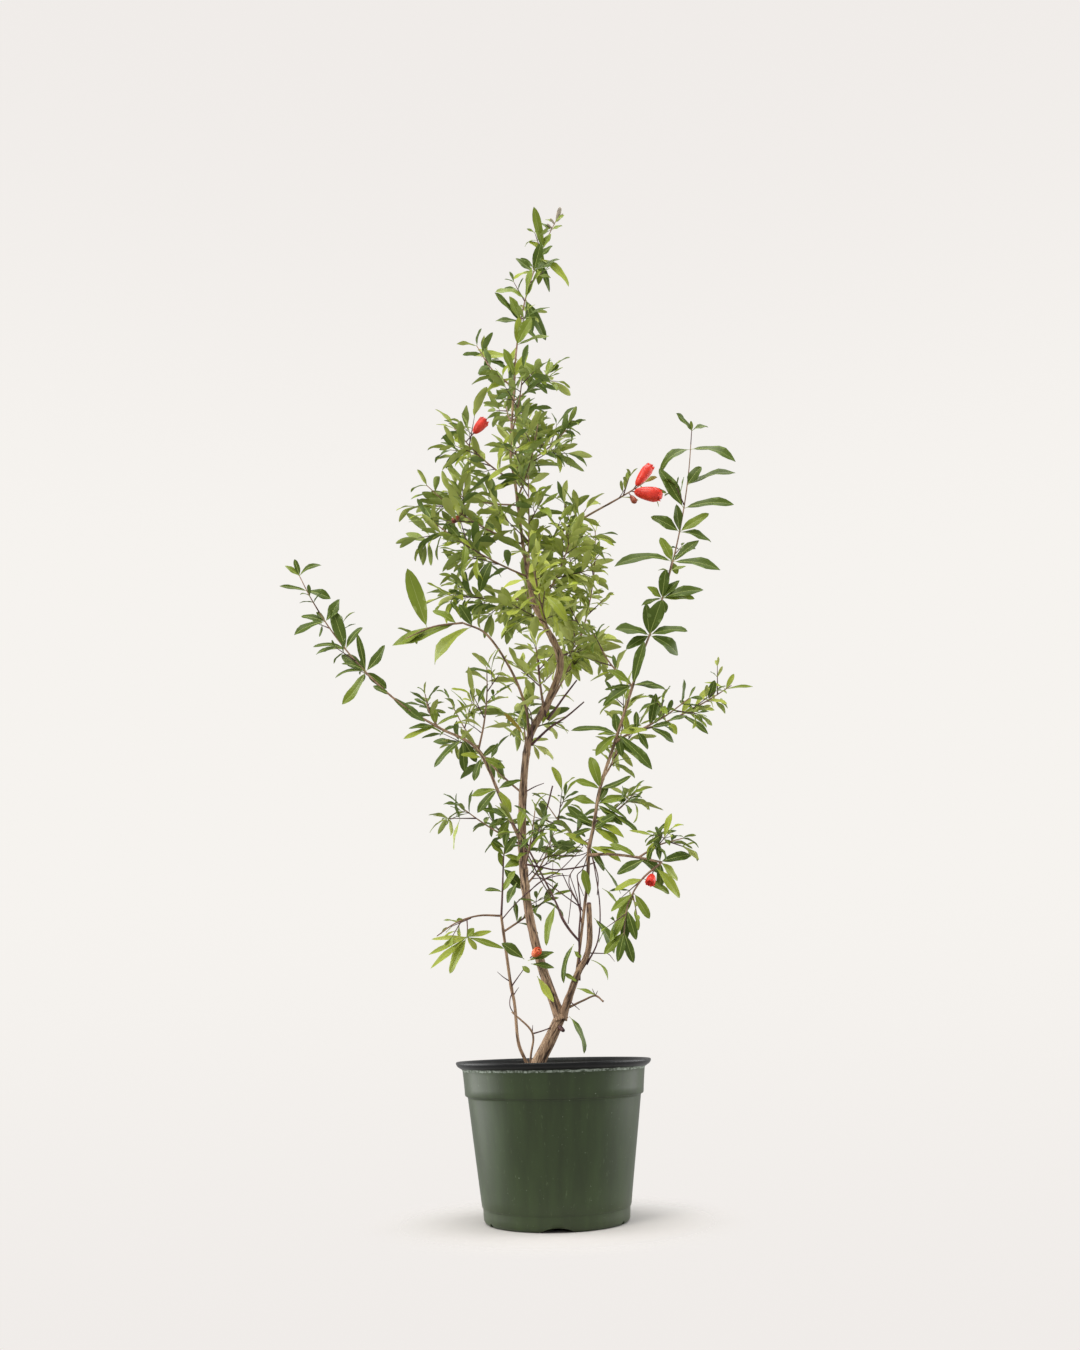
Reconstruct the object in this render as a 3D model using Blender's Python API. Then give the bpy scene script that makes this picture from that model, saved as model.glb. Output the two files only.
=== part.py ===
"""Pomegranate tree in a ten-inch nursery pot, in metres, +Z up.

The origin is the centre of the pot's flat underside, and the front of the plant faces -Y. The limbs are
tapering tubes along smooth curves. Each mass of foliage is one solid, grown by one seeded rule: an arched
stem, side twigs, and pairs of leaves fused to them. Sizes are in millimetres until a mesh is made.
"""

import math
import random

import bmesh
import bpy
from mathutils import Matrix, Vector
from mathutils.bvhtree import BVHTree

MM = 0.001
UP = Vector((0, 0, 1))

# The gap that touching solids keep, and the room that a leaf or twig leaves to other solids.
GAP = 0.3
CLEARANCE = 0.7

# Pot: a round injection-moulded nursery pot with a flared lip over a collar, and drain arches and slots cut
# at its foot. Small steps round its edges are named once.
POT_SEGMENTS = 32
POT_HEIGHT = 193
RIM_RADIUS = 127
RIM_THICKNESS = 2.2
RIM_ROUNDING = 0.6
LIP_WIDTH = 4
LIP_HEIGHT = 8
COLLAR_TOP_RADIUS = 119
COLLAR_BOTTOM_RADIUS = 115.5
COLLAR_BOTTOM = 151
BODY_TOP_RADIUS = 112.5
BODY_BOTTOM_RADIUS = 94
FOOT_TOP = 19
FOOT_RADIUS = 92.5
FOOT_ROUNDING = 5
STEP_HEIGHT = 1.5
WALL = 2.4
FLOOR = 3
FLOOR_INSET = 2
ARCH_WIDTH = 36
ARCH_HEIGHT = 7
ARCH_DEPTH = 14
ARCH_AZIMUTHS = (0, 90, 180, 270)
DRAIN_WIDTH = 7
DRAIN_HEIGHT = 4.5
DRAIN_DEPTH = 6
DRAIN_AZIMUTHS = (28, 152, 208, 332)

# Soil, filled to a finger's breadth under the rim and slightly crowned.
SOIL_TOP = 171
SOIL_CROWN = 2
CROWN_RADIUS = 71

# Limbs: name, sides of the tube, and the bends that the limb passes, each with its radius last. Those that
# stand in the soil have a level foot. The others start on the axis of the limb that carries them, and are cut
# clear of it. The right stem ends at a pruning cut, and a thinner shoot has taken over from it.
LIMBS = (
    ("trunk", 12, ((-27, 0, 171.3, 13.8), (-19, 0, 190, 9.4), (-3, 0, 220, 8.2), (12, 0, 250, 7.4))),
    ("left_sucker", 6,
     ((-31, 22, 171.3, 2.5), (-36, 22, 190, 2.4), (-46, 18, 216, 2.2), (-50, 19, 262, 2.1), (-55, 21, 290, 2.1),
      (-61, 24, 335, 2.0), (-67, 27, 382, 1.8))),
    ("leader", 8,
     ((11, 0, 242, 7.2), (-15, 8, 321, 6.3), (-31, 12, 401, 5.8), (-36, 14, 500, 5.7), (-25, 8, 620, 5.1),
      (6, 0, 681, 5.4), (23, -5, 742, 5.2), (-11, 2, 825, 3.6), (-24, 6, 900, 2.6), (-37, 8, 1027, 2.1),
      (-43, 8, 1083, 1.9), (-35, 4, 1204, 1.6))),
    ("right_stem", 8,
     ((12, 0, 244, 5.4), (34, -10, 299, 4.4), (46, -12, 320, 4.2), (52, -17, 345, 3.9), (52, -28, 390, 3.4))),
    ("right_shoot", 6,
     ((33, -9, 297, 1.9), (38, -10, 330, 1.9), (47, -14, 390, 2.1), (52, -17, 423, 2.4), (55, -18, 463, 2.6),
      (63, -20, 497, 2.5), (73, -22, 547, 2.4), (93, -24, 603, 2.3), (117, -28, 670, 2.0),
      (139, -30, 736, 1.9))),
    ("long_left_bough", 6,
     ((-36, 14, 478, 2.6), (-62, 4, 535, 2.4), (-96, -12, 608, 2.1), (-148, -20, 638, 1.8),
      (-192, -25, 664, 1.6))),
    ("front_left_bough", 6,
     ((-24, 7, 628, 2.0), (-27, -20, 664, 1.9), (-46, -46, 712, 1.8), (-79, -60, 761, 1.6),
      (-112, -67, 777, 1.4))),
    ("flower_bough", 6, ((-25, 6, 908, 2.0), (27, -10, 935, 1.8), (70, -28, 954, 1.6), (100, -35, 968, 1.4))),
    ("low_right_bough", 6,
     ((55, -18, 456, 2.0), (81, -30, 455, 1.9), (116, -40, 449, 1.7), (150, -49, 440, 1.5))),
    ("middle_right_bough", 6,
     ((96, -25, 611, 1.8), (122, -20, 626, 1.7), (151, -8, 636, 1.6), (180, 0, 648, 1.4))),
    ("base_twig", 5,
     ((-33, -19, 171.3, 1.6), (-29, -18, 200, 1.5), (-27, -17, 228, 1.4), (-53, -18, 254, 1.1))),
    ("fork_twig", 5, ((17, -1, 256, 1.5), (40, -9, 266, 1.4), (57, -15, 272, 1.2), (67, -20, 264, 1.1))),
)
STANDING = ("trunk", "left_sucker", "base_twig")
SPAN_STEPS = 2

# Leaves: lanceolate. Width, thickness and arch are shares of the length. The foot lies in the twig, a hair
# from its axis, so that the two leaves of a pair don't meet in a point.
LEAF_WIDTH = 0.34
LEAF_THICKNESS = 0.022
LEAF_WIDEST = 0.42
LEAF_ARCH = 0.05
FOOT_OFFSET = 0.1
LEAF_SPREAD = 56
LEAF_SPREAD_STRAY = 12
LEAF_ROLL = 62
LEAF_SAG = 0.22
LEAF_SIZES = (0.82, 1.12)
LEAF_SIZE_AT_FOOT = 1.05
LEAF_SIZE_LOSS = 0.25
ROOT_ROOM = 0.28
BLADE_MIDDLE = 0.6

# Pairs of leaves turn a quarter from one node to the next, and one leaf ends each twig.
NODE_SPACING = 41
FIRST_NODE_ON_STEM = 0.62
FIRST_NODE_ON_TWIG = 0.8
LAST_NODE_SHORT = 0.35
PAIR_TURN = 90
PAIR_TURN_PER_TWIG = 25
PAIR_STRAY = 22
END_LEAF_PLACE = 0.98
END_LEAF_SIZE = 0.8
END_LEAF_SPREAD = 0.3

# Stems and twigs: side twigs leave the middle part of a stem at golden angles, shorter towards its tip.
STEM_STEP = 38
TWIG_SIDES = 3
STEM_FOOT_RADIUS = 1.7
TWIG_FOOT_RADIUS = 1.45
TWIG_TIP_RADIUS = 1.2
FIRST_TWIG = 0.22
TWIG_ZONE = 0.6
TWIG_STRAY = (0.2, 0.8)
TURN_OF_TWIGS = 137.5
TURN_STRAY = 25
TWIG_SPREAD = 48
TWIG_SPREAD_STRAY = 8
TWIG_LIFT = 0.12
TWIG_SIZES = (0.85, 1.2)
TWIG_SIZE_AT_FOOT = 1.25
TWIG_SIZE_LOSS = 0.5

# Masses of foliage: name, the limb that carries it, the height at which it leaves that limb (None at the
# tip), azimuth, rise at the foot and turn towards the tip in degrees, length of the stem, number of side
# twigs, their length and the leaf length. Azimuth 0 is to the right, 90 back, 180 left and 270 to the front.
MASSES = (
    ("top_spire", "leader", None, 0, 88, -24, 304, 6, 34, 44),
    ("top_right_spray", "leader", 1166, 12, 34, 24, 92, 2, 34, 44),
    ("top_left_spray", "leader", 1188, 192, 32, 36, 92, 1, 34, 44),
    ("top_back_spray", "leader", 1130, 100, 35, 25, 104, 2, 40, 44),
    ("top_front_spray", "leader", 1108, 290, 34, 38, 104, 2, 40, 44),
    ("crown_upper_left", "leader", 1027, 204, 24, 26, 124, 3, 48, 46),
    ("crown_left_back", "leader", 990, 160, 10, 22, 122, 3, 50, 46),
    ("crown_upper_right", "leader", 1050, 352, 20, 30, 104, 3, 46, 46),
    ("crown_upper_back", "leader", 1075, 75, 30, 30, 124, 3, 50, 46),
    ("crown_upper_front", "leader", 1000, 300, 36, 36, 118, 3, 46, 46),
    ("crown_front", "leader", 868, 275, 58, 36, 158, 3, 54, 48),
    ("crown_left_high", "leader", 925, 196, 14, 30, 170, 4, 52, 46),
    ("crown_left_front", "leader", 872, 205, 14, 20, 178, 4, 54, 48),
    ("crown_left_low", "leader", 838, 158, 4, 16, 134, 3, 54, 48),
    ("crown_right", "leader", 885, 338, 22, 34, 126, 3, 52, 48),
    ("crown_right_front", "leader", 820, 305, 24, 36, 124, 3, 50, 48),
    ("crown_right_back", "leader", 850, 40, 18, 34, 138, 3, 54, 48),
    ("crown_back", "leader", 815, 100, 22, 30, 148, 4, 56, 48),
    ("crown_front_low", "leader", 770, 256, 20, 30, 122, 3, 52, 48),
    ("crown_back_low", "leader", 745, 70, 16, 34, 130, 3, 52, 48),
    ("front_shoot", "leader", 668, 262, 30, 40, 98, 2, 42, 46),
    ("fork_back_shoot", "leader", 606, 95, 36, 44, 128, 2, 50, 46),
    ("fork_right_shoot", "leader", 648, 17, 54, 36, 330, 6, 40, 42),
    ("middle_left_shoot", "leader", 548, 158, 40, 26, 194, 3, 52, 46),
    ("lower_left_shoot", "leader", 476, 165, 28, 12, 112, 2, 40, 42),
    ("lower_back_shoot", "leader", 420, 60, 30, 30, 116, 2, 44, 42),
    ("lower_front_shoot", "leader", 440, 285, 34, 26, 100, 2, 38, 40),
    ("big_leaf_spray", "front_left_bough", None, 186, 0, -34, 84, 1, 34, 68),
    ("flower_spray", "flower_bough", None, 352, 26, 6, 62, 2, 26, 42),
    ("long_bough_tip", "long_left_bough", None, 181, 39, 26, 262, 5, 34, 48),
    ("long_bough_middle", "long_left_bough", 640, 196, 54, 30, 50, 1, 26, 42),
    ("long_bough_shoot", "long_left_bough", 606, 300, 56, 40, 120, 2, 40, 46),
    ("sucker_left_spray", "left_sucker", None, 200, 8, -50, 98, 2, 34, 42),
    ("sucker_right_spray", "left_sucker", 360, 8, 30, 12, 84, 1, 30, 40),
    ("sucker_bud_spray", "left_sucker", 287, 318, 40, 12, 68, 1, 26, 38),
    ("low_right_spray", "low_right_bough", None, 196, -28, -62, 118, 3, 36, 44),
    ("low_right_tips", "low_right_bough", 448, 340, 34, -30, 66, 2, 32, 38),
    ("middle_right_spray", "middle_right_bough", None, 10, 26, 8, 106, 3, 42, 40),
    ("middle_right_low", "middle_right_bough", 630, 330, 16, 16, 84, 2, 40, 44),
    ("right_shoot_inner", "right_shoot", 690, 188, 40, 30, 92, 2, 40, 46),
    ("right_shoot_back", "right_shoot", 560, 62, 36, 40, 165, 3, 50, 46),
    ("right_shoot_low", "right_shoot", 500, 20, 20, 30, 78, 2, 36, 42),
    ("inner_low_shoot", "right_shoot", 470, 140, 26, 30, 96, 3, 40, 42),
    ("tall_right_shoot", "right_shoot", None, 0, 66, 18, 348, 3, 34, 56),
    ("hanging_shoot", "right_stem", 268, 318, -20, -60, 46, 0, 0, 46),
)

# Flowers and buds: name of the mass, place along its stem (0 to 1), azimuth and rise in degrees, length,
# radius and share of the length that is stalk. The outline is an urn that widens to its petals.
BLOSSOM = (
    ("flower_spray", 0.70, 5, 55, 50, 7.8, 0.16),
    ("flower_spray", 0.62, 350, -15, 46, 9.5, 0.12),
    ("flower_spray", 0.56, 320, -60, 24, 4.5, 0.3),
    ("crown_upper_left", 0.78, 20, 54, 50, 8, 0.42),
    ("crown_left_high", 0.60, 225, -45, 26, 4.6, 0.3),
    ("sucker_bud_spray", 0.75, 300, 20, 26, 6, 0.3),
    ("low_right_spray", 0.13, 240, -55, 25, 6.5, 0.35),
)
BLOSSOM_OUTLINE = ((0.04, 0.42), (0.35, 0.8), (0.64, 0.72), (0.86, 1.0), (1.0, 0.25))
BLOSSOM_SIDES = 5

COLOURS = {
    "pot": ("#3C4A31", 0.42),
    "soil": ("#3A2C22", 0.95),
    "bark": ("#97795A", 0.85),
    "foliage": ("#66903A", 0.5),
}


def linear(hex_colour):
    """sRGB hex to linear red, green, blue and alpha."""
    parts = [int(hex_colour[i : i + 2], 16) / 255 for i in (1, 3, 5)]
    return [c / 12.92 if c <= 0.04045 else ((c + 0.055) / 1.055) ** 2.4 for c in parts] + [1]


def material(name):
    """A Principled material with the colour and roughness of that part of the plant."""
    if name in bpy.data.materials:
        return bpy.data.materials[name]
    colour, roughness = COLOURS[name]
    made = bpy.data.materials.new(name)
    made.use_nodes = True
    shader = made.node_tree.nodes["Principled BSDF"]
    shader.inputs["Base Color"].default_value = linear(colour)
    shader.inputs["Roughness"].default_value = roughness
    shader.inputs["Metallic"].default_value = 0
    return made


def new_object(name, shape, finish, collection=None):
    """An object with the shape's vertices, taken from millimetres to metres."""
    vertices, faces = shape
    mesh = bpy.data.meshes.new(name)
    mesh.from_pydata([v * MM for v in vertices], [], faces)
    mesh.materials.append(material(finish))
    made = bpy.data.objects.new(name, mesh)
    (collection or bpy.context.scene.collection).objects.link(made)
    return made


def is_closed(mesh):
    """Whether every edge of the mesh lies between exactly two faces."""
    shape = bmesh.new()
    shape.from_mesh(mesh)
    closed = bool(shape.faces) and all(len(edge.link_faces) == 2 for edge in shape.edges)
    shape.free()
    return closed


def apply_boolean(target, operation, operand):
    """Joins or cuts the target with an object or with all objects of a collection, and keeps the result.

    Where the exact solver leaves an open edge, the manifold solver does the same work.
    """
    modifier = target.modifiers.new(operation.title(), "BOOLEAN")
    modifier.operation = operation
    if isinstance(operand, bpy.types.Collection):
        modifier.operand_type = "COLLECTION"
        modifier.collection = operand
    else:
        modifier.object = operand
    for solver in ("EXACT", "MANIFOLD"):
        modifier.solver = solver
        bpy.context.view_layer.update()
        evaluated = target.evaluated_get(bpy.context.evaluated_depsgraph_get())
        result = bpy.data.meshes.new_from_object(evaluated)
        if is_closed(result):
            break
    target.modifiers.clear()
    old = target.data
    target.data = result
    result.name = old.name
    bpy.data.meshes.remove(old)


def cut_away(target, shape):
    """Cuts a closed shape out of the target."""
    cutter = new_object("cutter", shape, target.data.materials[0].name)
    apply_boolean(target, "DIFFERENCE", cutter)
    remove_object(cutter)


def remove_object(made):
    """Takes an object and its mesh out of the file."""
    mesh = made.data
    bpy.data.objects.remove(made)
    bpy.data.meshes.remove(mesh)


def shell_of(start):
    """All faces that join the start face through shared edges."""
    shell, front = {start}, [start]
    while front:
        for edge in front.pop().edges:
            for face in edge.link_faces:
                if face not in shell:
                    shell.add(face)
                    front.append(face)
    return shell


def keep_largest_shell(made):
    """Drops loose scraps and sealed hollows, so that one closed body is left."""
    shape = bmesh.new()
    shape.from_mesh(made.data)
    left, shells = set(shape.faces), []
    while left:
        shell = shell_of(next(iter(left)))
        shells.append(shell)
        left -= shell
    largest = max(shells, key=lambda shell: sum(face.calc_area() for face in shell))
    scraps = [face for shell in shells if shell is not largest for face in shell]
    bmesh.ops.delete(shape, geom=scraps, context="FACES")
    shape.to_mesh(made.data)
    shape.free()


def smooth_curve(knots, steps):
    """Points of a Catmull-Rom curve through the knots, with that many steps from knot to knot."""
    knots = [Vector(k) for k in knots]
    ends = [knots[0] * 2 - knots[1]] + knots + [knots[-1] * 2 - knots[-2]]
    points = []
    for a, b, c, d in zip(ends, ends[1:], ends[2:], ends[3:]):
        for step in range(steps):
            t = step / steps
            points.append(
                (b * 2 + (c - a) * t + (a * 2 - b * 5 + c * 4 - d) * t**2 + (b * 3 - a - c * 3 + d) * t**3) / 2
            )
    return points + [knots[-1]]


def tangents(points):
    """The direction of the path at each of its points."""
    last = len(points) - 1
    return [(points[min(i + 1, last)] - points[max(i - 1, 0)]).normalized() for i in range(last + 1)]


def spread_evenly(first, last, count):
    """Values from the first to the last in even steps."""
    return [first + (last - first) * i / (count - 1) for i in range(count)]


def tube(points, radii, sides, level_foot=False):
    """A closed tube along the points. A level foot has its first ring in a horizontal plane."""
    along = tangents(points)
    if level_foot:
        along[0] = UP.copy()
    side = along[0].orthogonal().normalized()
    vertices, faces = [], []
    for point, radius, heading in zip(points, radii, along):
        side = (side - heading * side.dot(heading)).normalized()
        across = heading.cross(side)
        for k in range(sides):
            angle = 2 * math.pi * k / sides
            vertices.append(point + (side * math.cos(angle) + across * math.sin(angle)) * radius)
    for ring in range(len(points) - 1):
        for k in range(sides):
            a, b = ring * sides + k, ring * sides + (k + 1) % sides
            faces.append((a, b, b + sides, a + sides))
    faces.append(tuple(reversed(range(sides))))
    faces.append(tuple(range(len(vertices) - sides, len(vertices))))
    return vertices, faces


def lathe(outline, segments):
    """A closed solid turned about the Z axis from an outline of radius and height, both ends on flat discs.

    The outline runs from the centre of the underside outwards, up, and back to the centre on top.
    """
    vertices, faces = [], []
    for radius, height in outline:
        for k in range(segments):
            angle = 2 * math.pi * (k + 0.5) / segments
            vertices.append(Vector((radius * math.cos(angle), radius * math.sin(angle), height)))
    for ring in range(len(outline) - 1):
        for k in range(segments):
            a, b = ring * segments + k, ring * segments + (k + 1) % segments
            faces.append((a, b, b + segments, a + segments))
    faces.append(tuple(reversed(range(segments))))
    faces.append(tuple(range(len(vertices) - segments, len(vertices))))
    return vertices, faces


def box(centre, size, azimuth):
    """A box of that size, turned about the Z axis."""
    turn = Matrix.Rotation(math.radians(azimuth), 3, "Z")
    corners = [Vector((x, y, z)) for z in (-0.5, 0.5) for y in (-0.5, 0.5) for x in (-0.5, 0.5)]
    vertices = [centre + turn @ Vector([c * s for c, s in zip(corner, size)]) for corner in corners]
    faces = [(0, 2, 3, 1), (4, 5, 7, 6), (0, 1, 5, 4), (2, 6, 7, 3), (0, 4, 6, 2), (1, 3, 7, 5)]
    return vertices, faces


def inner_radius(height):
    """Radius of the pot's inside at that height, measured square to the axis."""
    if height >= COLLAR_BOTTOM:
        share = (height - COLLAR_BOTTOM) / (POT_HEIGHT - LIP_HEIGHT - COLLAR_BOTTOM)
        return COLLAR_BOTTOM_RADIUS + (COLLAR_TOP_RADIUS - COLLAR_BOTTOM_RADIUS) * share - WALL
    share = (height - FOOT_TOP) / (COLLAR_BOTTOM - FOOT_TOP)
    return BODY_BOTTOM_RADIUS + (BODY_TOP_RADIUS - BODY_BOTTOM_RADIUS) * share - WALL


def build_pot():
    """The pot, turned from its outline, with the arches and slots cut at its foot."""
    lip_bottom = POT_HEIGHT - LIP_HEIGHT
    rim_bottom = POT_HEIGHT - RIM_THICKNESS
    outline = [
        (FOOT_RADIUS - FOOT_ROUNDING, 0),
        (FOOT_RADIUS - FOOT_ROUNDING * 0.3, FOOT_ROUNDING * 0.3),
        (FOOT_RADIUS - RIM_ROUNDING, FOOT_ROUNDING),
        (FOOT_RADIUS, FOOT_TOP - STEP_HEIGHT),
        (BODY_BOTTOM_RADIUS, FOOT_TOP),
        (BODY_TOP_RADIUS, COLLAR_BOTTOM - STEP_HEIGHT),
        (COLLAR_BOTTOM_RADIUS, COLLAR_BOTTOM),
        (COLLAR_TOP_RADIUS, lip_bottom),
        (RIM_RADIUS - STEP_HEIGHT, rim_bottom - STEP_HEIGHT),
        (RIM_RADIUS, rim_bottom),
        (RIM_RADIUS - RIM_ROUNDING, POT_HEIGHT),
        (RIM_RADIUS - LIP_WIDTH, POT_HEIGHT - RIM_ROUNDING),
        (inner_radius(lip_bottom), lip_bottom - STEP_HEIGHT),
        (inner_radius(COLLAR_BOTTOM), COLLAR_BOTTOM),
        (inner_radius(FOOT_TOP), FOOT_TOP),
        (inner_radius(FOOT_TOP) - FLOOR_INSET, FLOOR),
    ]
    pot = new_object("pot", lathe(outline, POT_SEGMENTS), "pot")
    cuts = [(azimuth, ARCH_WIDTH, ARCH_HEIGHT, ARCH_DEPTH) for azimuth in ARCH_AZIMUTHS]
    cuts += [(azimuth, DRAIN_WIDTH, DRAIN_HEIGHT, DRAIN_DEPTH) for azimuth in DRAIN_AZIMUTHS]
    for azimuth, width, height, depth in cuts:
        outwards = Vector((math.cos(math.radians(azimuth)), math.sin(math.radians(azimuth)), 0))
        cut_away(pot, box(outwards * FOOT_RADIUS, (depth * 2, width, height * 2), azimuth))
    keep_largest_shell(pot)


def build_soil():
    """The potting soil, clear of the pot all round."""
    outline = [
        (inner_radius(FOOT_TOP) - FLOOR_INSET - GAP, FLOOR + GAP),
        (inner_radius(FOOT_TOP) - 2 * GAP, FOOT_TOP),
        (inner_radius(COLLAR_BOTTOM) - 2 * GAP, COLLAR_BOTTOM),
        (inner_radius(SOIL_TOP) - 2 * GAP, SOIL_TOP - SOIL_CROWN),
        (CROWN_RADIUS, SOIL_TOP),
    ]
    new_object("soil", lathe(outline, POT_SEGMENTS), "soil")


def limb_path(limb):
    """Points and radii along a limb."""
    curve = smooth_curve(limb[2], SPAN_STEPS)
    return [place.to_3d() for place in curve], [place.w for place in curve]


def grown(limb, margin):
    """The limb's tube made larger all round and at both ends."""
    points, radii = limb_path(limb)
    along = tangents(points)
    points = [points[0] - along[0] * margin] + points[1:-1] + [points[-1] + along[-1] * margin]
    spread = margin / math.cos(math.pi / limb[1])
    return tube(points, [radius + spread for radius in radii], limb[1], limb[0] in STANDING)


def spot(limb, height):
    """The point on the limb's path at that height, or its tip where there is no height."""
    points, _ = limb_path(limb)
    if height is None:
        return points[-1]
    for i in range(len(points) - 1):
        low, high = sorted((points[i].z, points[i + 1].z))
        if low <= height <= high:
            share = (height - points[i].z) / (points[i + 1].z - points[i].z)
            return points[i].lerp(points[i + 1], share)
    raise ValueError(f"{limb[0]} does not pass {height} mm")


def arc(start, azimuth, rise, turn, length):
    """Points along a stem that sets out at that rise and has turned by that angle at its tip."""
    steps = max(2, round(length / STEM_STEP))
    points = [start]
    for step in range(steps):
        pitch = math.radians(rise + turn * (step + 0.5) / steps)
        level = math.cos(pitch)
        heading = Vector((math.cos(azimuth) * level, math.sin(azimuth) * level, math.sin(pitch)))
        points.append(points[-1] + heading * (length / steps))
    return points


def at_share(points, share):
    """The point and direction at that share of a path with even steps."""
    place = share * (len(points) - 1)
    i = min(int(place), len(points) - 2)
    return points[i].lerp(points[i + 1], place - i), (points[i + 1] - points[i]).normalized()


def turned_side(along, angle):
    """A direction square to a twig, level at angle 0 and turned about the twig by the angle in degrees."""
    return Matrix.Rotation(math.radians(angle), 3, along) @ along.cross(UP).normalized()


def leaning(along, side, angle):
    """A direction that leans from the twig to the side by the angle in degrees."""
    return along * math.cos(math.radians(angle)) + side * math.sin(math.radians(angle))


def grow(mass, start):
    """Twigs and leaves of one mass. Every mass follows this rule with its own seed.

    A twig is its points, and the first one is the stem. A leaf is its root, direction, face and length.
    """
    name, _, _, azimuth, rise, turn, length, side_twigs, twig_length, leaf_length = mass
    rng = random.Random(name)
    stem = arc(start, math.radians(azimuth), rise, turn, length)
    twigs = [stem]
    for k in range(side_twigs):
        share = FIRST_TWIG + TWIG_ZONE * (k + rng.uniform(*TWIG_STRAY)) / side_twigs
        foot, along = at_share(stem, share)
        side = turned_side(along, k * TURN_OF_TWIGS + rng.uniform(-TURN_STRAY, TURN_STRAY))
        spread = TWIG_SPREAD + rng.uniform(-TWIG_SPREAD_STRAY, TWIG_SPREAD_STRAY)
        heading = (leaning(along, side, spread) + UP * TWIG_LIFT).normalized()
        size = rng.uniform(*TWIG_SIZES) * (TWIG_SIZE_AT_FOOT - TWIG_SIZE_LOSS * share)
        twigs.append([foot, foot + heading * twig_length * size])
    leaves = []
    for number, twig in enumerate(twigs):
        reach = sum((b - a).length for a, b in zip(twig, twig[1:]))
        nodes = max(1, round(reach / NODE_SPACING))
        first = FIRST_NODE_ON_STEM if twig is stem else FIRST_NODE_ON_TWIG
        for k in range(nodes):
            share = (k + first) / (nodes + first - LAST_NODE_SHORT)
            root, along = at_share(twig, share)
            turn = k * PAIR_TURN + number * PAIR_TURN_PER_TWIG + rng.uniform(-PAIR_STRAY, PAIR_STRAY)
            size = leaf_length * (LEAF_SIZE_AT_FOOT - LEAF_SIZE_LOSS * share)
            for opposite in (0, 180):
                leaves.append(new_leaf(rng, root, along, turned_side(along, turn + opposite), size))
        root, along = at_share(twig, END_LEAF_PLACE)
        end_spread = LEAF_SPREAD * END_LEAF_SPREAD
        leaves.append(new_leaf(rng, root, along, turned_side(along, 0), leaf_length * END_LEAF_SIZE, end_spread))
    return twigs, leaves


def new_leaf(rng, root, along, side, length, spread=LEAF_SPREAD):
    """A leaf that leaves its twig at the spread angle towards the side, its face turned to the light."""
    angle = spread + rng.uniform(-LEAF_SPREAD_STRAY, LEAF_SPREAD_STRAY)
    heading = (leaning(along, side, angle) - UP * rng.uniform(0, LEAF_SAG)).normalized()
    face = (UP - heading * heading.z).normalized()
    face = Matrix.Rotation(math.radians(rng.uniform(-LEAF_ROLL, LEAF_ROLL)), 3, heading) @ face
    return root, heading, face, length * rng.uniform(*LEAF_SIZES)


def leaf_shape(leaf, margin=0, root_share=0):
    """A leaf of six faces: flat below, ridged along the midrib above, and bent where it is widest.

    With a margin and a root share it is the room that its outer part needs.
    """
    root, heading, face, length = leaf
    side = heading.cross(face)
    foot = root + heading * (length * root_share + FOOT_OFFSET)
    middle = root + heading * length * LEAF_WIDEST + face * length * LEAF_ARCH
    half_width = side * (length * LEAF_WIDTH / 2 + margin)
    ridge = middle + face * (length * LEAF_THICKNESS + margin)
    middle -= face * margin
    tip = root + heading * (length + margin) - face * length * LEAF_ARCH
    vertices = [foot, middle + half_width, ridge, middle - half_width, tip]
    faces = [(0, 1 + k, 1 + (k + 1) % 3) for k in range(3)] + [(4, 1 + (k + 1) % 3, 1 + k) for k in range(3)]
    return vertices, faces


def blossom_shape(foot, azimuth, rise, length, radius, stalk):
    """A bud or flower on its stalk."""
    heading = arc(foot, math.radians(azimuth), rise, 0, 1)[-1] - foot
    points = [foot, foot + heading * length * stalk]
    radii = [TWIG_TIP_RADIUS, TWIG_TIP_RADIUS]
    for share, width in BLOSSOM_OUTLINE:
        points.append(points[1] + heading * length * (1 - stalk) * share)
        radii.append(radius * width)
    return tube(points, radii, BLOSSOM_SIDES)


def tree_of(shape):
    """The shape as a search tree for touch tests."""
    return BVHTree.FromPolygons(shape[0], shape[1])


def is_clear(shape, trees):
    """Whether the shape touches none of the trees."""
    own = tree_of(shape)
    return not any(own.overlap(tree) for tree in trees)


def distance_to(path, point):
    """Distance from the point to the nearest point of the path."""
    return min((point - p).length for p in path)


def in_own_space(point, stem, other_stems):
    """Whether the point is nearer to its own stem than to that of any other mass."""
    own = distance_to(stem, point)
    return all(own < distance_to(other, point) for other in other_stems)


def mesh_shape(made):
    """The vertices of an object in millimetres and its faces."""
    return [v.co / MM for v in made.data.vertices], [tuple(p.vertices) for p in made.data.polygons]


def build_limbs():
    """Trunk, stems and boughs, each cut clear of those before it."""
    built = {}
    for limb in LIMBS:
        points, radii = limb_path(limb)
        made = new_object(limb[0], tube(points, radii, limb[1], limb[0] in STANDING), "bark")
        room = tree_of(grown(limb, GAP))
        for other in built.values():
            if room.overlap(tree_of(grown(other, GAP))):
                cut_away(made, grown(other, GAP))
        keep_largest_shell(made)
        built[limb[0]] = limb
    return built


def stem_and_blossom(mass, stem):
    """The parts of a mass that are never skipped: its stem, and the flowers and buds on it."""
    parts = [tube(stem, spread_evenly(STEM_FOOT_RADIUS, TWIG_TIP_RADIUS, len(stem)), TWIG_SIDES)]
    for name, share, *size in BLOSSOM:
        if name == mass[0]:
            parts.append(blossom_shape(at_share(stem, share)[0], *size))
    return parts


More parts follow.
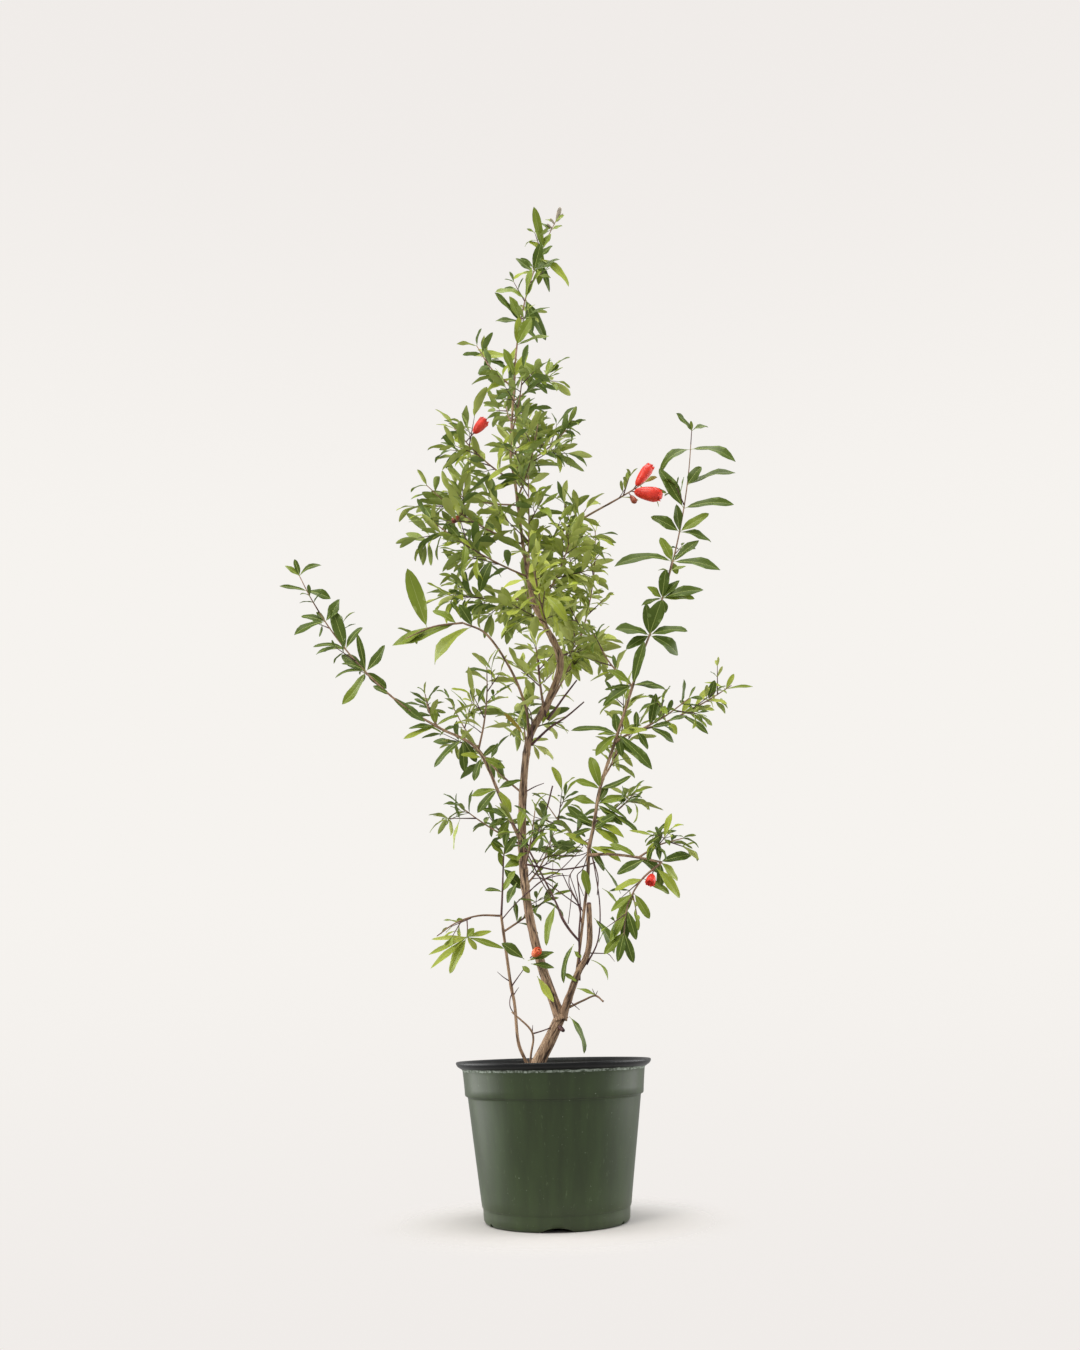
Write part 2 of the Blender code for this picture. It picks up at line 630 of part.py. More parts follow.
def build_mass(mass, limbs, stems, obstacles):
    """One mass of foliage: twigs, leaves and blossom joined into one solid, clear of all others."""
    twigs, leaves = grow(mass, spot(limbs[mass[1]], mass[2]))
    others = [stem for name, stem in stems.items() if name != mass[0]]
    stem = twigs[0]
    parts = stem_and_blossom(mass, stem)
    paths = [stem]
    for twig in twigs[1:]:
        radii = spread_evenly(TWIG_FOOT_RADIUS, TWIG_TIP_RADIUS, len(twig))
        room = tube(twig, [radius + CLEARANCE for radius in radii], TWIG_SIDES)
        if is_clear(room, obstacles) and in_own_space(twig[-1], stem, others):
            parts.append(tube(twig, radii, TWIG_SIDES))
            paths.append(twig)
    trees = [tree_of(shape) for shape in parts]
    for leaf in leaves:
        root, heading, _, length = leaf
        rooted = any(distance_to_segments(path, root) < GAP for path in paths)
        outer = leaf_shape(leaf, CLEARANCE, ROOT_ROOM)
        if not rooted or not is_clear(leaf_shape(leaf, CLEARANCE), obstacles) or not is_clear(outer, trees):
            continue
        if in_own_space(root + heading * length * BLADE_MIDDLE, stem, others):
            parts.append(leaf_shape(leaf))
            trees.append(tree_of(outer))
    made = join_parts(mass[0], parts)
    cut_away(made, grown(limbs[mass[1]], GAP))
    keep_largest_shell(made)
    return made


def distance_to_segments(points, place):
    """Distance from a place to the straight runs of a path."""
    nearest = math.inf
    for a, b in zip(points, points[1:]):
        share = max(0, min(1, (place - a).dot(b - a) / (b - a).length_squared))
        nearest = min(nearest, (a.lerp(b, share) - place).length)
    return nearest


def join_parts(name, parts):
    """One solid from the stem and all that grows on it, by one union on a collection."""
    stem = new_object(name, parts[0], "foliage")
    pieces = bpy.data.collections.new(name + "_pieces")
    bpy.context.scene.collection.children.link(pieces)
    for shape in parts[1:]:
        new_object("piece", shape, "foliage", pieces)
    apply_boolean(stem, "UNION", pieces)
    for piece in list(pieces.objects):
        remove_object(piece)
    bpy.data.collections.remove(pieces)
    return stem


def build():
    """The whole plant, standing in its pot."""
    for made in list(bpy.data.objects):
        bpy.data.objects.remove(made)
    build_pot()
    build_soil()
    limbs = build_limbs()
    placed = [tree_of(mesh_shape(bpy.data.objects[name])) for name in ("pot", "soil", *limbs)]
    stems = {mass[0]: grow(mass, spot(limbs[mass[1]], mass[2]))[0][0] for mass in MASSES}
    to_come = {mass[0]: [tree_of(s) for s in stem_and_blossom(mass, stems[mass[0]])] for mass in MASSES}
    for mass in MASSES:
        del to_come[mass[0]]
        made = build_mass(mass, limbs, stems, placed + [tree for trees in to_come.values() for tree in trees])
        placed.append(tree_of(mesh_shape(made)))


build()
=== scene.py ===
"""Looks of the pomegranate tree in its nursery pot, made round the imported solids.

Lengths are in millimetres until a mesh is made. The front of the plant faces -Y. Azimuth 0 is to the right,
90 to the back, 180 to the left and 270 to the front. Twigs start from the same seeds as the solids.
"""

import math
import random
from collections import namedtuple

import bmesh
import bpy
import numpy as np
from mathutils import Matrix, Vector, noise
from mathutils.kdtree import KDTree


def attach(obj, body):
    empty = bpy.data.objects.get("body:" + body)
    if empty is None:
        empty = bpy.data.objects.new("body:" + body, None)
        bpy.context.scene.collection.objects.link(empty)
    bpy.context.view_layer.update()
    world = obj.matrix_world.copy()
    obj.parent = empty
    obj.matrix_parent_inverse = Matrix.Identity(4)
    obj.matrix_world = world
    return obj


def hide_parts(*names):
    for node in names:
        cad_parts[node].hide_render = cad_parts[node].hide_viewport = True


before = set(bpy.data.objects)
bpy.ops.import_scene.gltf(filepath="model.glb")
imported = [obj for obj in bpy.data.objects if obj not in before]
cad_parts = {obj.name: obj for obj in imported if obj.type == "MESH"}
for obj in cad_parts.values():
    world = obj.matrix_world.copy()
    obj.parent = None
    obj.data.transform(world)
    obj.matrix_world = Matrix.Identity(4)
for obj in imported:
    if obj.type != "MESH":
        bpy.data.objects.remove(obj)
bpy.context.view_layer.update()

MM = 0.001
UP = Vector((0, 0, 1))

# The photograph's camera, solved from the pot's rim and foot: it stands low and looks up.
CAMERA_PLACE = (-0.006, -1.6, 0.2325)
CAMERA_RISE = 16.9
CAMERA_ROLL = 1.32
SENSOR = 36
FOCAL_PIXELS = 1163
LONG_SIDE_PIXELS = 1350

# The nursery pot, as in its solid, but with the wall under the collar drawn in a little and wavy arches.
POT_SEGMENTS = 160
COLLAR_TOP = 185
COLLAR_TOP_RADIUS = 119
COLLAR_BOTTOM = 151
COLLAR_BOTTOM_RADIUS = 115.5
BODY_TOP_RADIUS = 111.8
BODY_BOTTOM_RADIUS = 94
FOOT_TOP = 19
FOOT_RADIUS = 92.5
WALL = 2.4
SOIL_TOP = 171

# Limbs: name, and the bends that each passes, each with its radius last, as in the solids.
Limb = namedtuple("Limb", "name knots")
LIMBS = (
    Limb("trunk", ((-27, 0, 171.3, 13.8), (-19, 0, 190, 9.4), (-3, 0, 220, 8.2), (12, 0, 250, 7.4))),
    Limb("left_sucker",
         ((-31, 22, 171.3, 2.5), (-36, 22, 190, 2.4), (-46, 18, 216, 2.2), (-50, 19, 262, 2.1),
          (-55, 21, 290, 2.1), (-61, 24, 335, 2.0), (-67, 27, 382, 1.8))),
    Limb("leader",
         ((11, 0, 242, 7.2), (-15, 8, 321, 6.3), (-31, 12, 401, 5.8), (-36, 14, 500, 5.7),
          (-25, 8, 620, 5.1), (6, 0, 681, 5.4), (23, -5, 742, 5.2), (-11, 2, 825, 3.6),
          (-24, 6, 900, 2.6), (-37, 8, 1027, 2.1), (-43, 8, 1083, 1.9), (-35, 4, 1204, 1.6))),
    Limb("right_stem",
         ((12, 0, 244, 5.4), (34, -10, 299, 4.4), (46, -12, 320, 4.2), (52, -17, 345, 3.9),
          (52, -28, 390, 3.4))),
    Limb("right_shoot",
         ((33, -9, 297, 1.9), (38, -10, 330, 1.9), (47, -14, 390, 2.1), (52, -17, 423, 2.4),
          (55, -18, 463, 2.6), (63, -20, 497, 2.5), (73, -22, 547, 2.4), (93, -24, 603, 2.3),
          (117, -28, 670, 2.0), (139, -30, 736, 1.9))),
    Limb("long_left_bough",
         ((-36, 14, 478, 2.6), (-62, 4, 535, 2.4), (-96, -12, 608, 2.1), (-148, -20, 638, 1.8),
          (-192, -25, 664, 1.6))),
    Limb("front_left_bough",
         ((-24, 7, 628, 2.0), (-27, -20, 664, 1.9), (-46, -46, 712, 1.8), (-79, -60, 761, 1.6),
          (-112, -67, 777, 1.4))),
    Limb("flower_bough",
         ((-25, 6, 908, 2.0), (27, -10, 935, 1.8), (70, -28, 954, 1.6), (100, -35, 968, 1.4))),
    Limb("low_right_bough",
         ((55, -18, 456, 2.0), (81, -30, 455, 1.9), (116, -40, 449, 1.7), (150, -49, 440, 1.5))),
    Limb("middle_right_bough",
         ((96, -25, 611, 1.8), (122, -20, 626, 1.7), (151, -8, 636, 1.6), (180, 0, 648, 1.4))),
    Limb("base_twig",
         ((-33, -19, 171.3, 1.6), (-29, -18, 200, 1.5), (-27, -17, 228, 1.4), (-53, -18, 254, 1.1))),
    Limb("fork_twig", ((17, -1, 256, 1.5), (40, -9, 266, 1.4), (57, -15, 272, 1.2), (67, -20, 264, 1.1))),
)
STANDING = ("trunk", "left_sucker", "base_twig")
SPAN_STEPS = 2

# Masses of foliage: name, the limb that carries it, the height at which it leaves that limb (None at the
# tip), azimuth, rise and turn in degrees, length of the stem, number of side twigs and their length, as in
# the solids, and then the mix of leaf tints and the habit of the leaves.
Mass = namedtuple("Mass", "name limb height azimuth rise turn length side_twigs twig_length mix habit")
MASSES = (
    Mass("top_spire", "leader", None, 0, 88, -24, 304, 6, 34, "top", "spire"),
    Mass("top_right_spray", "leader", 1166, 12, 34, 24, 92, 2, 34, "top", "spire"),
    Mass("top_left_spray", "leader", 1188, 192, 32, 36, 92, 1, 34, "top", "spire"),
    Mass("top_back_spray", "leader", 1130, 100, 35, 25, 104, 2, 40, "top", "spire"),
    Mass("top_front_spray", "leader", 1108, 290, 34, 38, 104, 2, 40, "top", "spire"),
    Mass("crown_upper_left", "leader", 1027, 204, 24, 26, 124, 3, 48, "upper", "crown"),
    Mass("crown_left_back", "leader", 990, 160, 10, 22, 122, 3, 50, "upper", "crown"),
    Mass("crown_upper_right", "leader", 1050, 352, 20, 30, 104, 3, 46, "upper", "crown"),
    Mass("crown_upper_back", "leader", 1075, 75, 30, 30, 124, 3, 50, "upper", "crown"),
    Mass("crown_upper_front", "leader", 1000, 300, 36, 36, 118, 3, 46, "middle", "crown"),
    Mass("crown_front", "leader", 868, 275, 58, 36, 158, 3, 54, "middle", "crown"),
    Mass("crown_left_high", "leader", 925, 196, 14, 30, 170, 4, 52, "middle", "crown"),
    Mass("crown_left_front", "leader", 872, 205, 14, 20, 178, 4, 54, "middle", "crown"),
    Mass("crown_left_low", "leader", 838, 158, 4, 16, 134, 3, 54, "middle", "crown"),
    Mass("crown_right", "leader", 885, 338, 22, 34, 126, 3, 52, "middle", "crown"),
    Mass("crown_right_front", "leader", 820, 305, 24, 36, 124, 3, 50, "sunny", "sunny"),
    Mass("crown_right_back", "leader", 850, 40, 18, 34, 138, 3, 54, "middle", "crown"),
    Mass("crown_back", "leader", 815, 100, 22, 30, 148, 4, 56, "middle", "crown"),
    Mass("crown_front_low", "leader", 770, 256, 20, 30, 122, 3, 52, "sunny", "sunny"),
    Mass("crown_back_low", "leader", 745, 70, 16, 34, 130, 3, 52, "sunny", "sunny"),
    Mass("front_shoot", "leader", 668, 262, 30, 40, 98, 2, 42, "sunny", "sunny"),
    Mass("fork_back_shoot", "leader", 606, 95, 36, 44, 128, 2, 50, "middle", "crown"),
    Mass("fork_right_shoot", "leader", 648, 17, 54, 36, 330, 6, 40, "column", "column"),
    Mass("middle_left_shoot", "leader", 548, 158, 40, 26, 194, 3, 52, "middle", "shade"),
    Mass("lower_left_shoot", "leader", 476, 165, 28, 12, 112, 2, 40, "shaded", "shade"),
    Mass("lower_back_shoot", "leader", 420, 60, 30, 30, 116, 2, 44, "shaded", "shade"),
    Mass("lower_front_shoot", "leader", 440, 285, 34, 26, 100, 2, 38, "shaded", "shade"),
    Mass("big_leaf_spray", "front_left_bough", None, 186, 0, -34, 84, 1, 34, "broad", "big"),
    Mass("flower_spray", "flower_bough", None, 352, 26, 6, 62, 2, 26, "middle", "tips"),
    Mass("long_bough_tip", "long_left_bough", None, 181, 39, 26, 262, 5, 34, "tall", "long"),
    Mass("long_bough_middle", "long_left_bough", 640, 196, 54, 30, 50, 1, 26, "shaded", "tips"),
    Mass("long_bough_shoot", "long_left_bough", 606, 300, 56, 40, 120, 2, 40, "middle", "shade"),
    Mass("sucker_left_spray", "left_sucker", None, 200, 8, -50, 98, 2, 34, "middle", "tips"),
    Mass("sucker_right_spray", "left_sucker", 360, 8, 30, 12, 84, 1, 30, "shaded", "tips"),
    Mass("sucker_bud_spray", "left_sucker", 287, 318, 40, 12, 68, 1, 26, "deep", "bare"),
    Mass("low_right_spray", "low_right_bough", None, 196, -28, -62, 118, 3, 36, "shaded", "weeping"),
    Mass("low_right_tips", "low_right_bough", 448, 340, 34, -30, 66, 2, 32, "shaded", "tips"),
    Mass("middle_right_spray", "middle_right_bough", None, 10, 26, 8, 106, 3, 42, "middle", "tips"),
    Mass("middle_right_low", "middle_right_bough", 630, 330, 16, 16, 84, 2, 40, "shaded", "tips"),
    Mass("right_shoot_inner", "right_shoot", 690, 188, 40, 30, 92, 2, 40, "middle", "shade"),
    Mass("right_shoot_back", "right_shoot", 560, 62, 36, 40, 165, 3, 50, "middle", "shade"),
    Mass("right_shoot_low", "right_shoot", 500, 20, 20, 30, 78, 2, 36, "shaded", "shade"),
    Mass("inner_low_shoot", "right_shoot", 470, 140, 26, 30, 96, 3, 40, "shaded", "shade"),
    Mass("tall_right_shoot", "right_shoot", None, 0, 66, 18, 348, 3, 34, "tall", "tall"),
    Mass("hanging_shoot", "right_stem", 268, 318, -20, -60, 46, 0, 0, "deep", "bare"),
)

# How a stem branches, as in the solids.
STEM_STEP = 38
FIRST_TWIG = 0.22
TWIG_ZONE = 0.6
TWIG_STRAY = (0.2, 0.8)
TURN_OF_TWIGS = 137.5
TURN_STRAY = 25
TWIG_SPREAD = 48
TWIG_SPREAD_STRAY = 8
TWIG_LIFT = 0.12
TWIG_SIZES = (0.85, 1.2)
TWIG_SIZE_AT_FOOT = 1.25
TWIG_SIZE_LOSS = 0.5

# Habits of the leaves: leaf length, half its width as a share of that, spacing of the pairs, small leaves in
# the axils of each pair, spacing and length of the spurs, and the angle at which leaves leave their twig.
Habit = namedtuple("Habit", "length half_width spacing axils spur_spacing spur_length spread")
HABITS = {
    "spire": Habit(48, 0.13, 30, 0.4, 70, 12, 52),
    "crown": Habit(58, 0.118, 29, 0.4, 41, 22, 56),
    "sunny": Habit(61, 0.132, 23, 0.6, 32, 24, 58),
    "column": Habit(31, 0.12, 26, 0.3, 50, 20, 50),
    "shade": Habit(48, 0.115, 38, 0.3, 64, 19, 56),
    "tips": Habit(40, 0.115, 30, 0.4, 62, 16, 48),
    "weeping": Habit(46, 0.13, 26, 0.3, 70, 18, 36),
    "long": Habit(38, 0.12, 34, 0.4, 200, 14, 50),
    "tall": Habit(34, 0.14, 26, 0.4, 200, 12, 56),
    "big": Habit(50, 0.14, 40, 0.2, 200, 20, 48),
    "sparse": Habit(27, 0.13, 70, 0.0, 400, 10, 50),
    "bare": Habit(24, 0.11, 60, 0.0, 200, 10, 50),
}

# Flowers and buds: mass, place along its stem, azimuth and rise, length, radius and share of stalk, as in
# the solids, and then how far the calyx has opened (0 for a closed bud) and its finish.
Flower = namedtuple("Flower", "mass share azimuth rise length radius stalk opened finish")
BLOSSOM = (
    Flower("flower_spray", 0.70, 5, 55, 50, 8.4, 0.16, 0.08, "scarlet"),
    Flower("flower_spray", 0.62, 350, -15, 48, 11, 0.12, 0.12, "scarlet"),
    Flower("flower_spray", 0.56, 320, -60, 24, 4.5, 0.3, 0.0, "russet"),
    Flower("crown_upper_left", 0.78, 20, 54, 50, 8, 0.42, 0.9, "scarlet"),
    Flower("crown_left_high", 0.60, 225, -45, 26, 4.6, 0.3, 0.0, "russet"),
    Flower("sucker_bud_spray", 0.75, 300, 20, 26, 6, 0.3, 0.15, "orange"),
    Flower("low_right_spray", 0.13, 240, -55, 25, 6.5, 0.35, 0.7, "scarlet"),
)

# Leaf tints: upper side and underside. Each mix deals them out by share.
TINTS = {
    "bright": ("#98A538", "#A9B35F"),
    "mid": ("#798A2C", "#909E52"),
    "deep": ("#50631D", "#6C7F3F"),
    "lime": ("#ABB54A", "#B8C06D"),
    "young": ("#A8903C", "#A8965A"),
}
MIXES = {
    "top": {"bright": 0.22, "mid": 0.48, "deep": 0.3},
    "upper": {"bright": 0.4, "mid": 0.42, "deep": 0.18},
    "middle": {"bright": 0.44, "mid": 0.34, "deep": 0.12, "lime": 0.1},
    "sunny": {"bright": 0.46, "mid": 0.14, "lime": 0.4},
    "column": {"bright": 0.45, "mid": 0.2, "lime": 0.35},
    "shaded": {"bright": 0.16, "mid": 0.4, "deep": 0.44},
    "tall": {"mid": 0.15, "deep": 0.85},
    "broad": {"bright": 0.35, "mid": 0.65},
    "deep": {"deep": 1},
}

# Single leaves that stand out in the photograph: tint, root and tip, the way the upper side faces, width and
# droop in degrees.
SINGLE_LEAVES = (
    ("deep", (22, -8, 247), (42, -16, 201), (0.75, -0.6, 0.4), 13, 50),
    ("lime", (-19, -10, 299), (2, -16, 265), (0.3, -0.9, 0.5), 11, -15),
    ("deep", (31, -14, 339), (14, -16, 289), (-0.6, -0.8, 0.3), 9, 60),
    ("mid", (53, -12, 318), (76, -18, 293), (0.5, -0.5, 0.8), 7, 75),
    ("mid", (31, -12, 330), (40, -14, 321), (0, -1, 0.5), 7, 10),
    ("mid", (15, -12, 302), (33, -14, 291), (0, -0.8, 0.6), 7, 20),
    ("mid", (33, -14, 282), (57, -18, 273), (0, -0.7, 0.7), 6, 25),
    ("deep", (59, -16, 372), (85, -22, 326), (0.6, -0.8, 0.4), 17, 45),
    ("deep", (-18, -2, 470), (10, -6, 463), (0.1, -0.8, 0.6), 11, 15),
    ("deep", (-31, -8, 319), (4, -16, 329), (0.1, -0.7, 0.7), 13, 10),
    ("deep", (-27, -8, 315), (4, -14, 309), (0, -0.8, 0.6), 9, 15),
    ("deep", (-36, 8, 322), (-66, 6, 344), (-0.2, -0.8, 0.6), 15, 20),
    ("mid", (-39, 4, 313), (-29, 0, 304), (0, -0.9, 0.4), 8, 10),
    ("bright", (3, -10, 793), (-1, -18, 846), (0.1, -1, 0.1), 13, -8),
    ("mid", (9, -8, 799), (43, -14, 843), (-0.4, -0.9, 0.3), 13, 10),
    ("young", (-31, -6, 629), (-58, -12, 660), (0.5, -0.8, 0.4), 9, 15),
    ("mid", (53, -20, 400), (46, -26, 436), (0.3, -0.9, 0.2), 13, 10),
    ("deep", (65, -20, 452), (96, -26, 403), (0.7, -0.4, 0.5), 8, 12),
    ("mid", (71, -20, 411), (94, -24, 382), (0.5, -0.5, 0.7), 7, 45),
    ("deep", (-44, 10, 425), (-58, 8, 397), (-0.4, -0.8, 0.4), 12, 20),
    ("mid", (8, -8, 392), (-7, -16, 338), (-0.5, -0.8, 0.3), 12, 35),
    ("deep", (61, -21, 497), (24, -26, 513), (0, -0.8, 0.6), 12, 25),
    ("mid", (64, -21, 505), (90, -28, 499), (0, -0.8, 0.6), 12, 20),
    ("bright", (66, -21, 500), (103, -30, 478), (0, -0.8, 0.6), 11, 40),
    ("bright", (64, -20, 492), (89, -28, 470), (0.2, -0.8, 0.5), 9, 20),
    ("mid", (61, -18, 466), (97, -28, 461), (0, -0.7, 0.7), 8, 15),
    ("deep", (70, -21, 530), (108, -30, 502), (0.3, -0.7, 0.6), 9, 15),
    ("mid", (68, -21, 520), (108, -26, 496), (0, -0.6, 0.8), 6, 30),
)

# Leaves that stand clear in the photograph, node by node along each shoot: place along it, and then for each
# leaf the angle on the picture (0 to the right, 90 up, 180 to the left), length, width and droop in degrees.
# A mass that is named here grows only a few other leaves.
TRACED_LEAVES = {
    "top_spire": (
        (0.98, (38, 18, 8, 30), (160, 16, 6, 20)),
        (0.93, (150, 22, 8, 20), (20, 18, 7, 30), (205, 20, 7, 20)),
        (0.8, (101, 62, 14, 5), (150, 24, 9, 20), (262, 52, 13, 10), (60, 26, 12, 20)),
        (0.74, (40, 28, 13, 20), (-40, 62, 15, 60), (-72, 52, 10, 20)),
        (0.65, (74, 44, 14, 10), (25, 44, 18, 20), (142, 34, 12, 10), (195, 34, 11, 40)),
        (0.48, (77, 46, 14, 5), (60, 46, 17, 15), (163, 46, 17, 55), (-80, 50, 15, 20),
         (-64, 68, 16, 10)),
        (0.34, (131, 56, 15, 10), (113, 40, 15, 10), (26, 48, 10, 30), (176, 38, 11, 20),
         (-50, 40, 14, 20)),
        (0.2, (60, 44, 18, 20), (85, 40, 13, 10), (15, 50, 12, 20), (250, 44, 14, 20)),
        (0.12, (174, 62, 15, 30), (-64, 56, 18, 20), (-100, 52, 13, 20), (-40, 60, 17, 30)),
        (0.01, (205, 52, 15, 30), (110, 44, 14, 10), (-25, 54, 16, 50), (60, 40, 14, 20)),
    ),
    "tall_right_shoot": (
        (1.05, (131, 33, 13, 10), (14, 24, 11, 60), (95, 14, 5, 0)),
        (0.96, (212, 52, 17, 85), (-13, 66, 19, 60)),
        (0.79, (52, 32, 16, 30), (15, 70, 19, 35)),
        (0.68, (5, 70, 16, 45), (121, 66, 19, 15)),
        (0.57, (96, 38, 13, 0), (150, 45, 18, 30), (31, 48, 15, 10), (-17, 47, 16, 40)),
        (0.43, (116, 38, 15, 10), (39, 47, 14, 15), (180, 78, 17, 65), (-9, 66, 18, 40), (-70, 18, 9, 0)),
        (0.26, (82, 40, 15, 10), (140, 26, 12, 20), (196, 30, 10, 30), (46, 34, 13, 20), (12, 57, 15, 45),
         (0, 44, 12, 40), (-78, 20, 10, 10)),
        (0.09, (95, 43, 13, 5), (70, 50, 21, 10), (167, 46, 20, 40), (208, 36, 14, 30), (7, 51, 17, 45),
         (-34, 48, 20, 55)),
    ),
    "right_shoot": (
        (0.925, (74, 60, 15, 15), (146, 40, 13, 30), (-7, 45, 13, 40), (187, 38, 8, 10),
         (212, 48, 15, 30), (5, 28, 6, 20)),
        (0.81, (172, 60, 11, 45), (95, 28, 13, 15), (222, 40, 13, 45), (-50, 32, 12, 20),
         (-46, 64, 16, 20), (-80, 30, 10, 10), (8, 40, 11, 30), (178, 26, 8, 20)),
        (0.665, (105, 44, 14, 60), (20, 44, 9, -40), (160, 34, 11, 30)),
        (0.62, (-40, 42, 11, 10), (165, 32, 11, 30), (15, 38, 12, 30), (60, 30, 10, 10)),
        (0.54, (138, 44, 13, 10), (-30, 38, 12, 40), (200, 34, 10, 30), (30, 34, 11, 20)),
        (0.46, (-25, 44, 11, 40), (150, 36, 10, 20), (-60, 36, 10, 20)),
    ),
    "long_bough_tip": (
        (1.0, (142, 24, 8, 20), (104, 24, 8, 5), (28, 34, 8, 90)),
        (0.9, (168, 38, 7, 25), (-18, 34, 14, 40)),
        (0.69, (55, 36, 16, -20), (200, 46, 13, 45), (165, 34, 10, 30), (130, 18, 7, 20)),
        (0.49, (107, 58, 17, -10), (53, 38, 10, 60), (172, 44, 7, 70), (186, 42, 7, 60)),
        (0.32, (101, 52, 9, 15), (143, 40, 16, 10), (52, 44, 14, -30), (234, 54, 15, -30),
         (187, 42, 6, 80), (158, 34, 6, 70), (-40, 36, 14, 10)),
        (0.13, (-39, 58, 13, -8), (150, 26, 8, 20)),
    ),
    "long_left_bough": (
        (0.6, (222, 53, 12, 30), (272, 44, 12, 10), (300, 36, 11, 20)),
        (0.46, (170, 28, 9, 20), (335, 34, 11, 20), (250, 32, 11, 20), (40, 26, 9, 10)),
        (0.31, (192, 36, 11, 20), (20, 34, 11, 20), (228, 40, 12, 30), (300, 36, 12, 20)),
        (0.16, (160, 38, 12, 30), (240, 32, 11, 20), (200, 30, 10, 20)),
        (0.78, (100, 28, 10, 10), (183, 36, 9, 20), (200, 46, 9, 10), (24, 34, 6, 50)),
    ),
    "front_left_bough": ((0.9, (221, 74, 21, 60), (120, 34, 14, 20)),),
    "big_leaf_spray": (
        (0.6, (107, 84, 21, -15), (205, 40, 14, 20)),
        (0.1, (197, 90, 19, 10), (150, 36, 14, 30)),
    ),
    "middle_right_bough": (
        (0.4, (90, 26, 8, 0), (-60, 28, 10, 20)),
        (0.62, (78, 46, 12, 10), (-32, 38, 12, 35), (10, 30, 8, 20)),
        (0.9, (130, 32, 10, 10), (112, 36, 7, 10), (-50, 22, 10, 60), (15, 30, 8, 20)),
    ),
    "middle_right_spray": (
        (0.15, (-36, 44, 10, 25), (60, 26, 8, 0), (20, 30, 8, 20)),
        (0.35, (52, 38, 9, 10), (-5, 28, 8, 20), (150, 22, 7, 10)),
        (0.6, (71, 28, 11, 10), (-12, 26, 9, 30), (170, 20, 6, 20)),
        (0.9, (5, 38, 5, 30), (160, 30, 5, 40), (60, 24, 7, 10)),
    ),
    "low_right_bough": (
        (0.68, (-32, 42, 13, 30), (152, 38, 9, 45)),
        (0.8, (205, 42, 12, 30), (60, 24, 8, 10)),
        (0.98, (97, 28, 8, 5), (12, 40, 13, 30), (-48, 32, 12, 20), (-93, 32, 11, 10)),
    ),
    "low_right_spray": (
        (0.1, (-52, 48, 13, 40)),
        (0.3, (200, 38, 11, 20), (-30, 38, 11, 30)),
        (0.5, (215, 36, 9, 30), (235, 40, 11, 10), (-60, 36, 11, 20)),
        (0.7, (240, 44, 11, 10), (262, 42, 12, 10), (-75, 38, 11, 10)),
        (0.95, (225, 36, 11, 5), (285, 38, 11, 10), (255, 36, 10, 5)),
    ),
    "sucker_left_spray": ((0.55, (180, 10, 6, 10)),),
    "hanging_star": (
        (1.0, (182, 45, 6, 10), (197, 31, 8, 15), (203, 53, 7, 5), (219, 59, 9, 5), (243, 50, 14, 15),
         (307, 20, 8, 10), (-18, 49, 8, 10), (12, 32, 7, 10), (50, 14, 9, 20)),
    ),
    "sucker_top": (
        (0.35, (172, 24, 6, 60), (58, 32, 11, 10)),
        (0.62, (22, 30, 13, 30), (-48, 36, 14, 20), (105, 22, 8, 10)),
        (0.85, (55, 30, 12, 10), (135, 24, 9, 20), (-20, 28, 11, 30)),
        (1.0, (80, 26, 10, 10), (150, 18, 7, 20)),
    ),
    "low_right_thin_twig": ((0.92, (39, 28, 5, 5), (10, 30, 5, 10), (167, 31, 5, 10)),),
}

# Thin twigs that carry traced leaves: name, mix of tints, and the bends that each passes, its radius last.
LEAFY_TWIGS = (
    ("hanging_star", "column", ((-113, 10, 377, 0.9), (-112, 3, 364, 0.8), (-112, -5, 352, 0.7))),
    ("sucker_top", "shaded",
     ((-67, 27, 380, 1.7), (-65, 25, 412, 1.4), (-63, 22, 452, 1.1), (-61, 19, 474, 0.6))),
    ("low_right_thin_twig", "shaded", ((136, -43, 442, 0.8), (137, -42, 458, 0.7), (142, -42, 481, 0.4))),
)

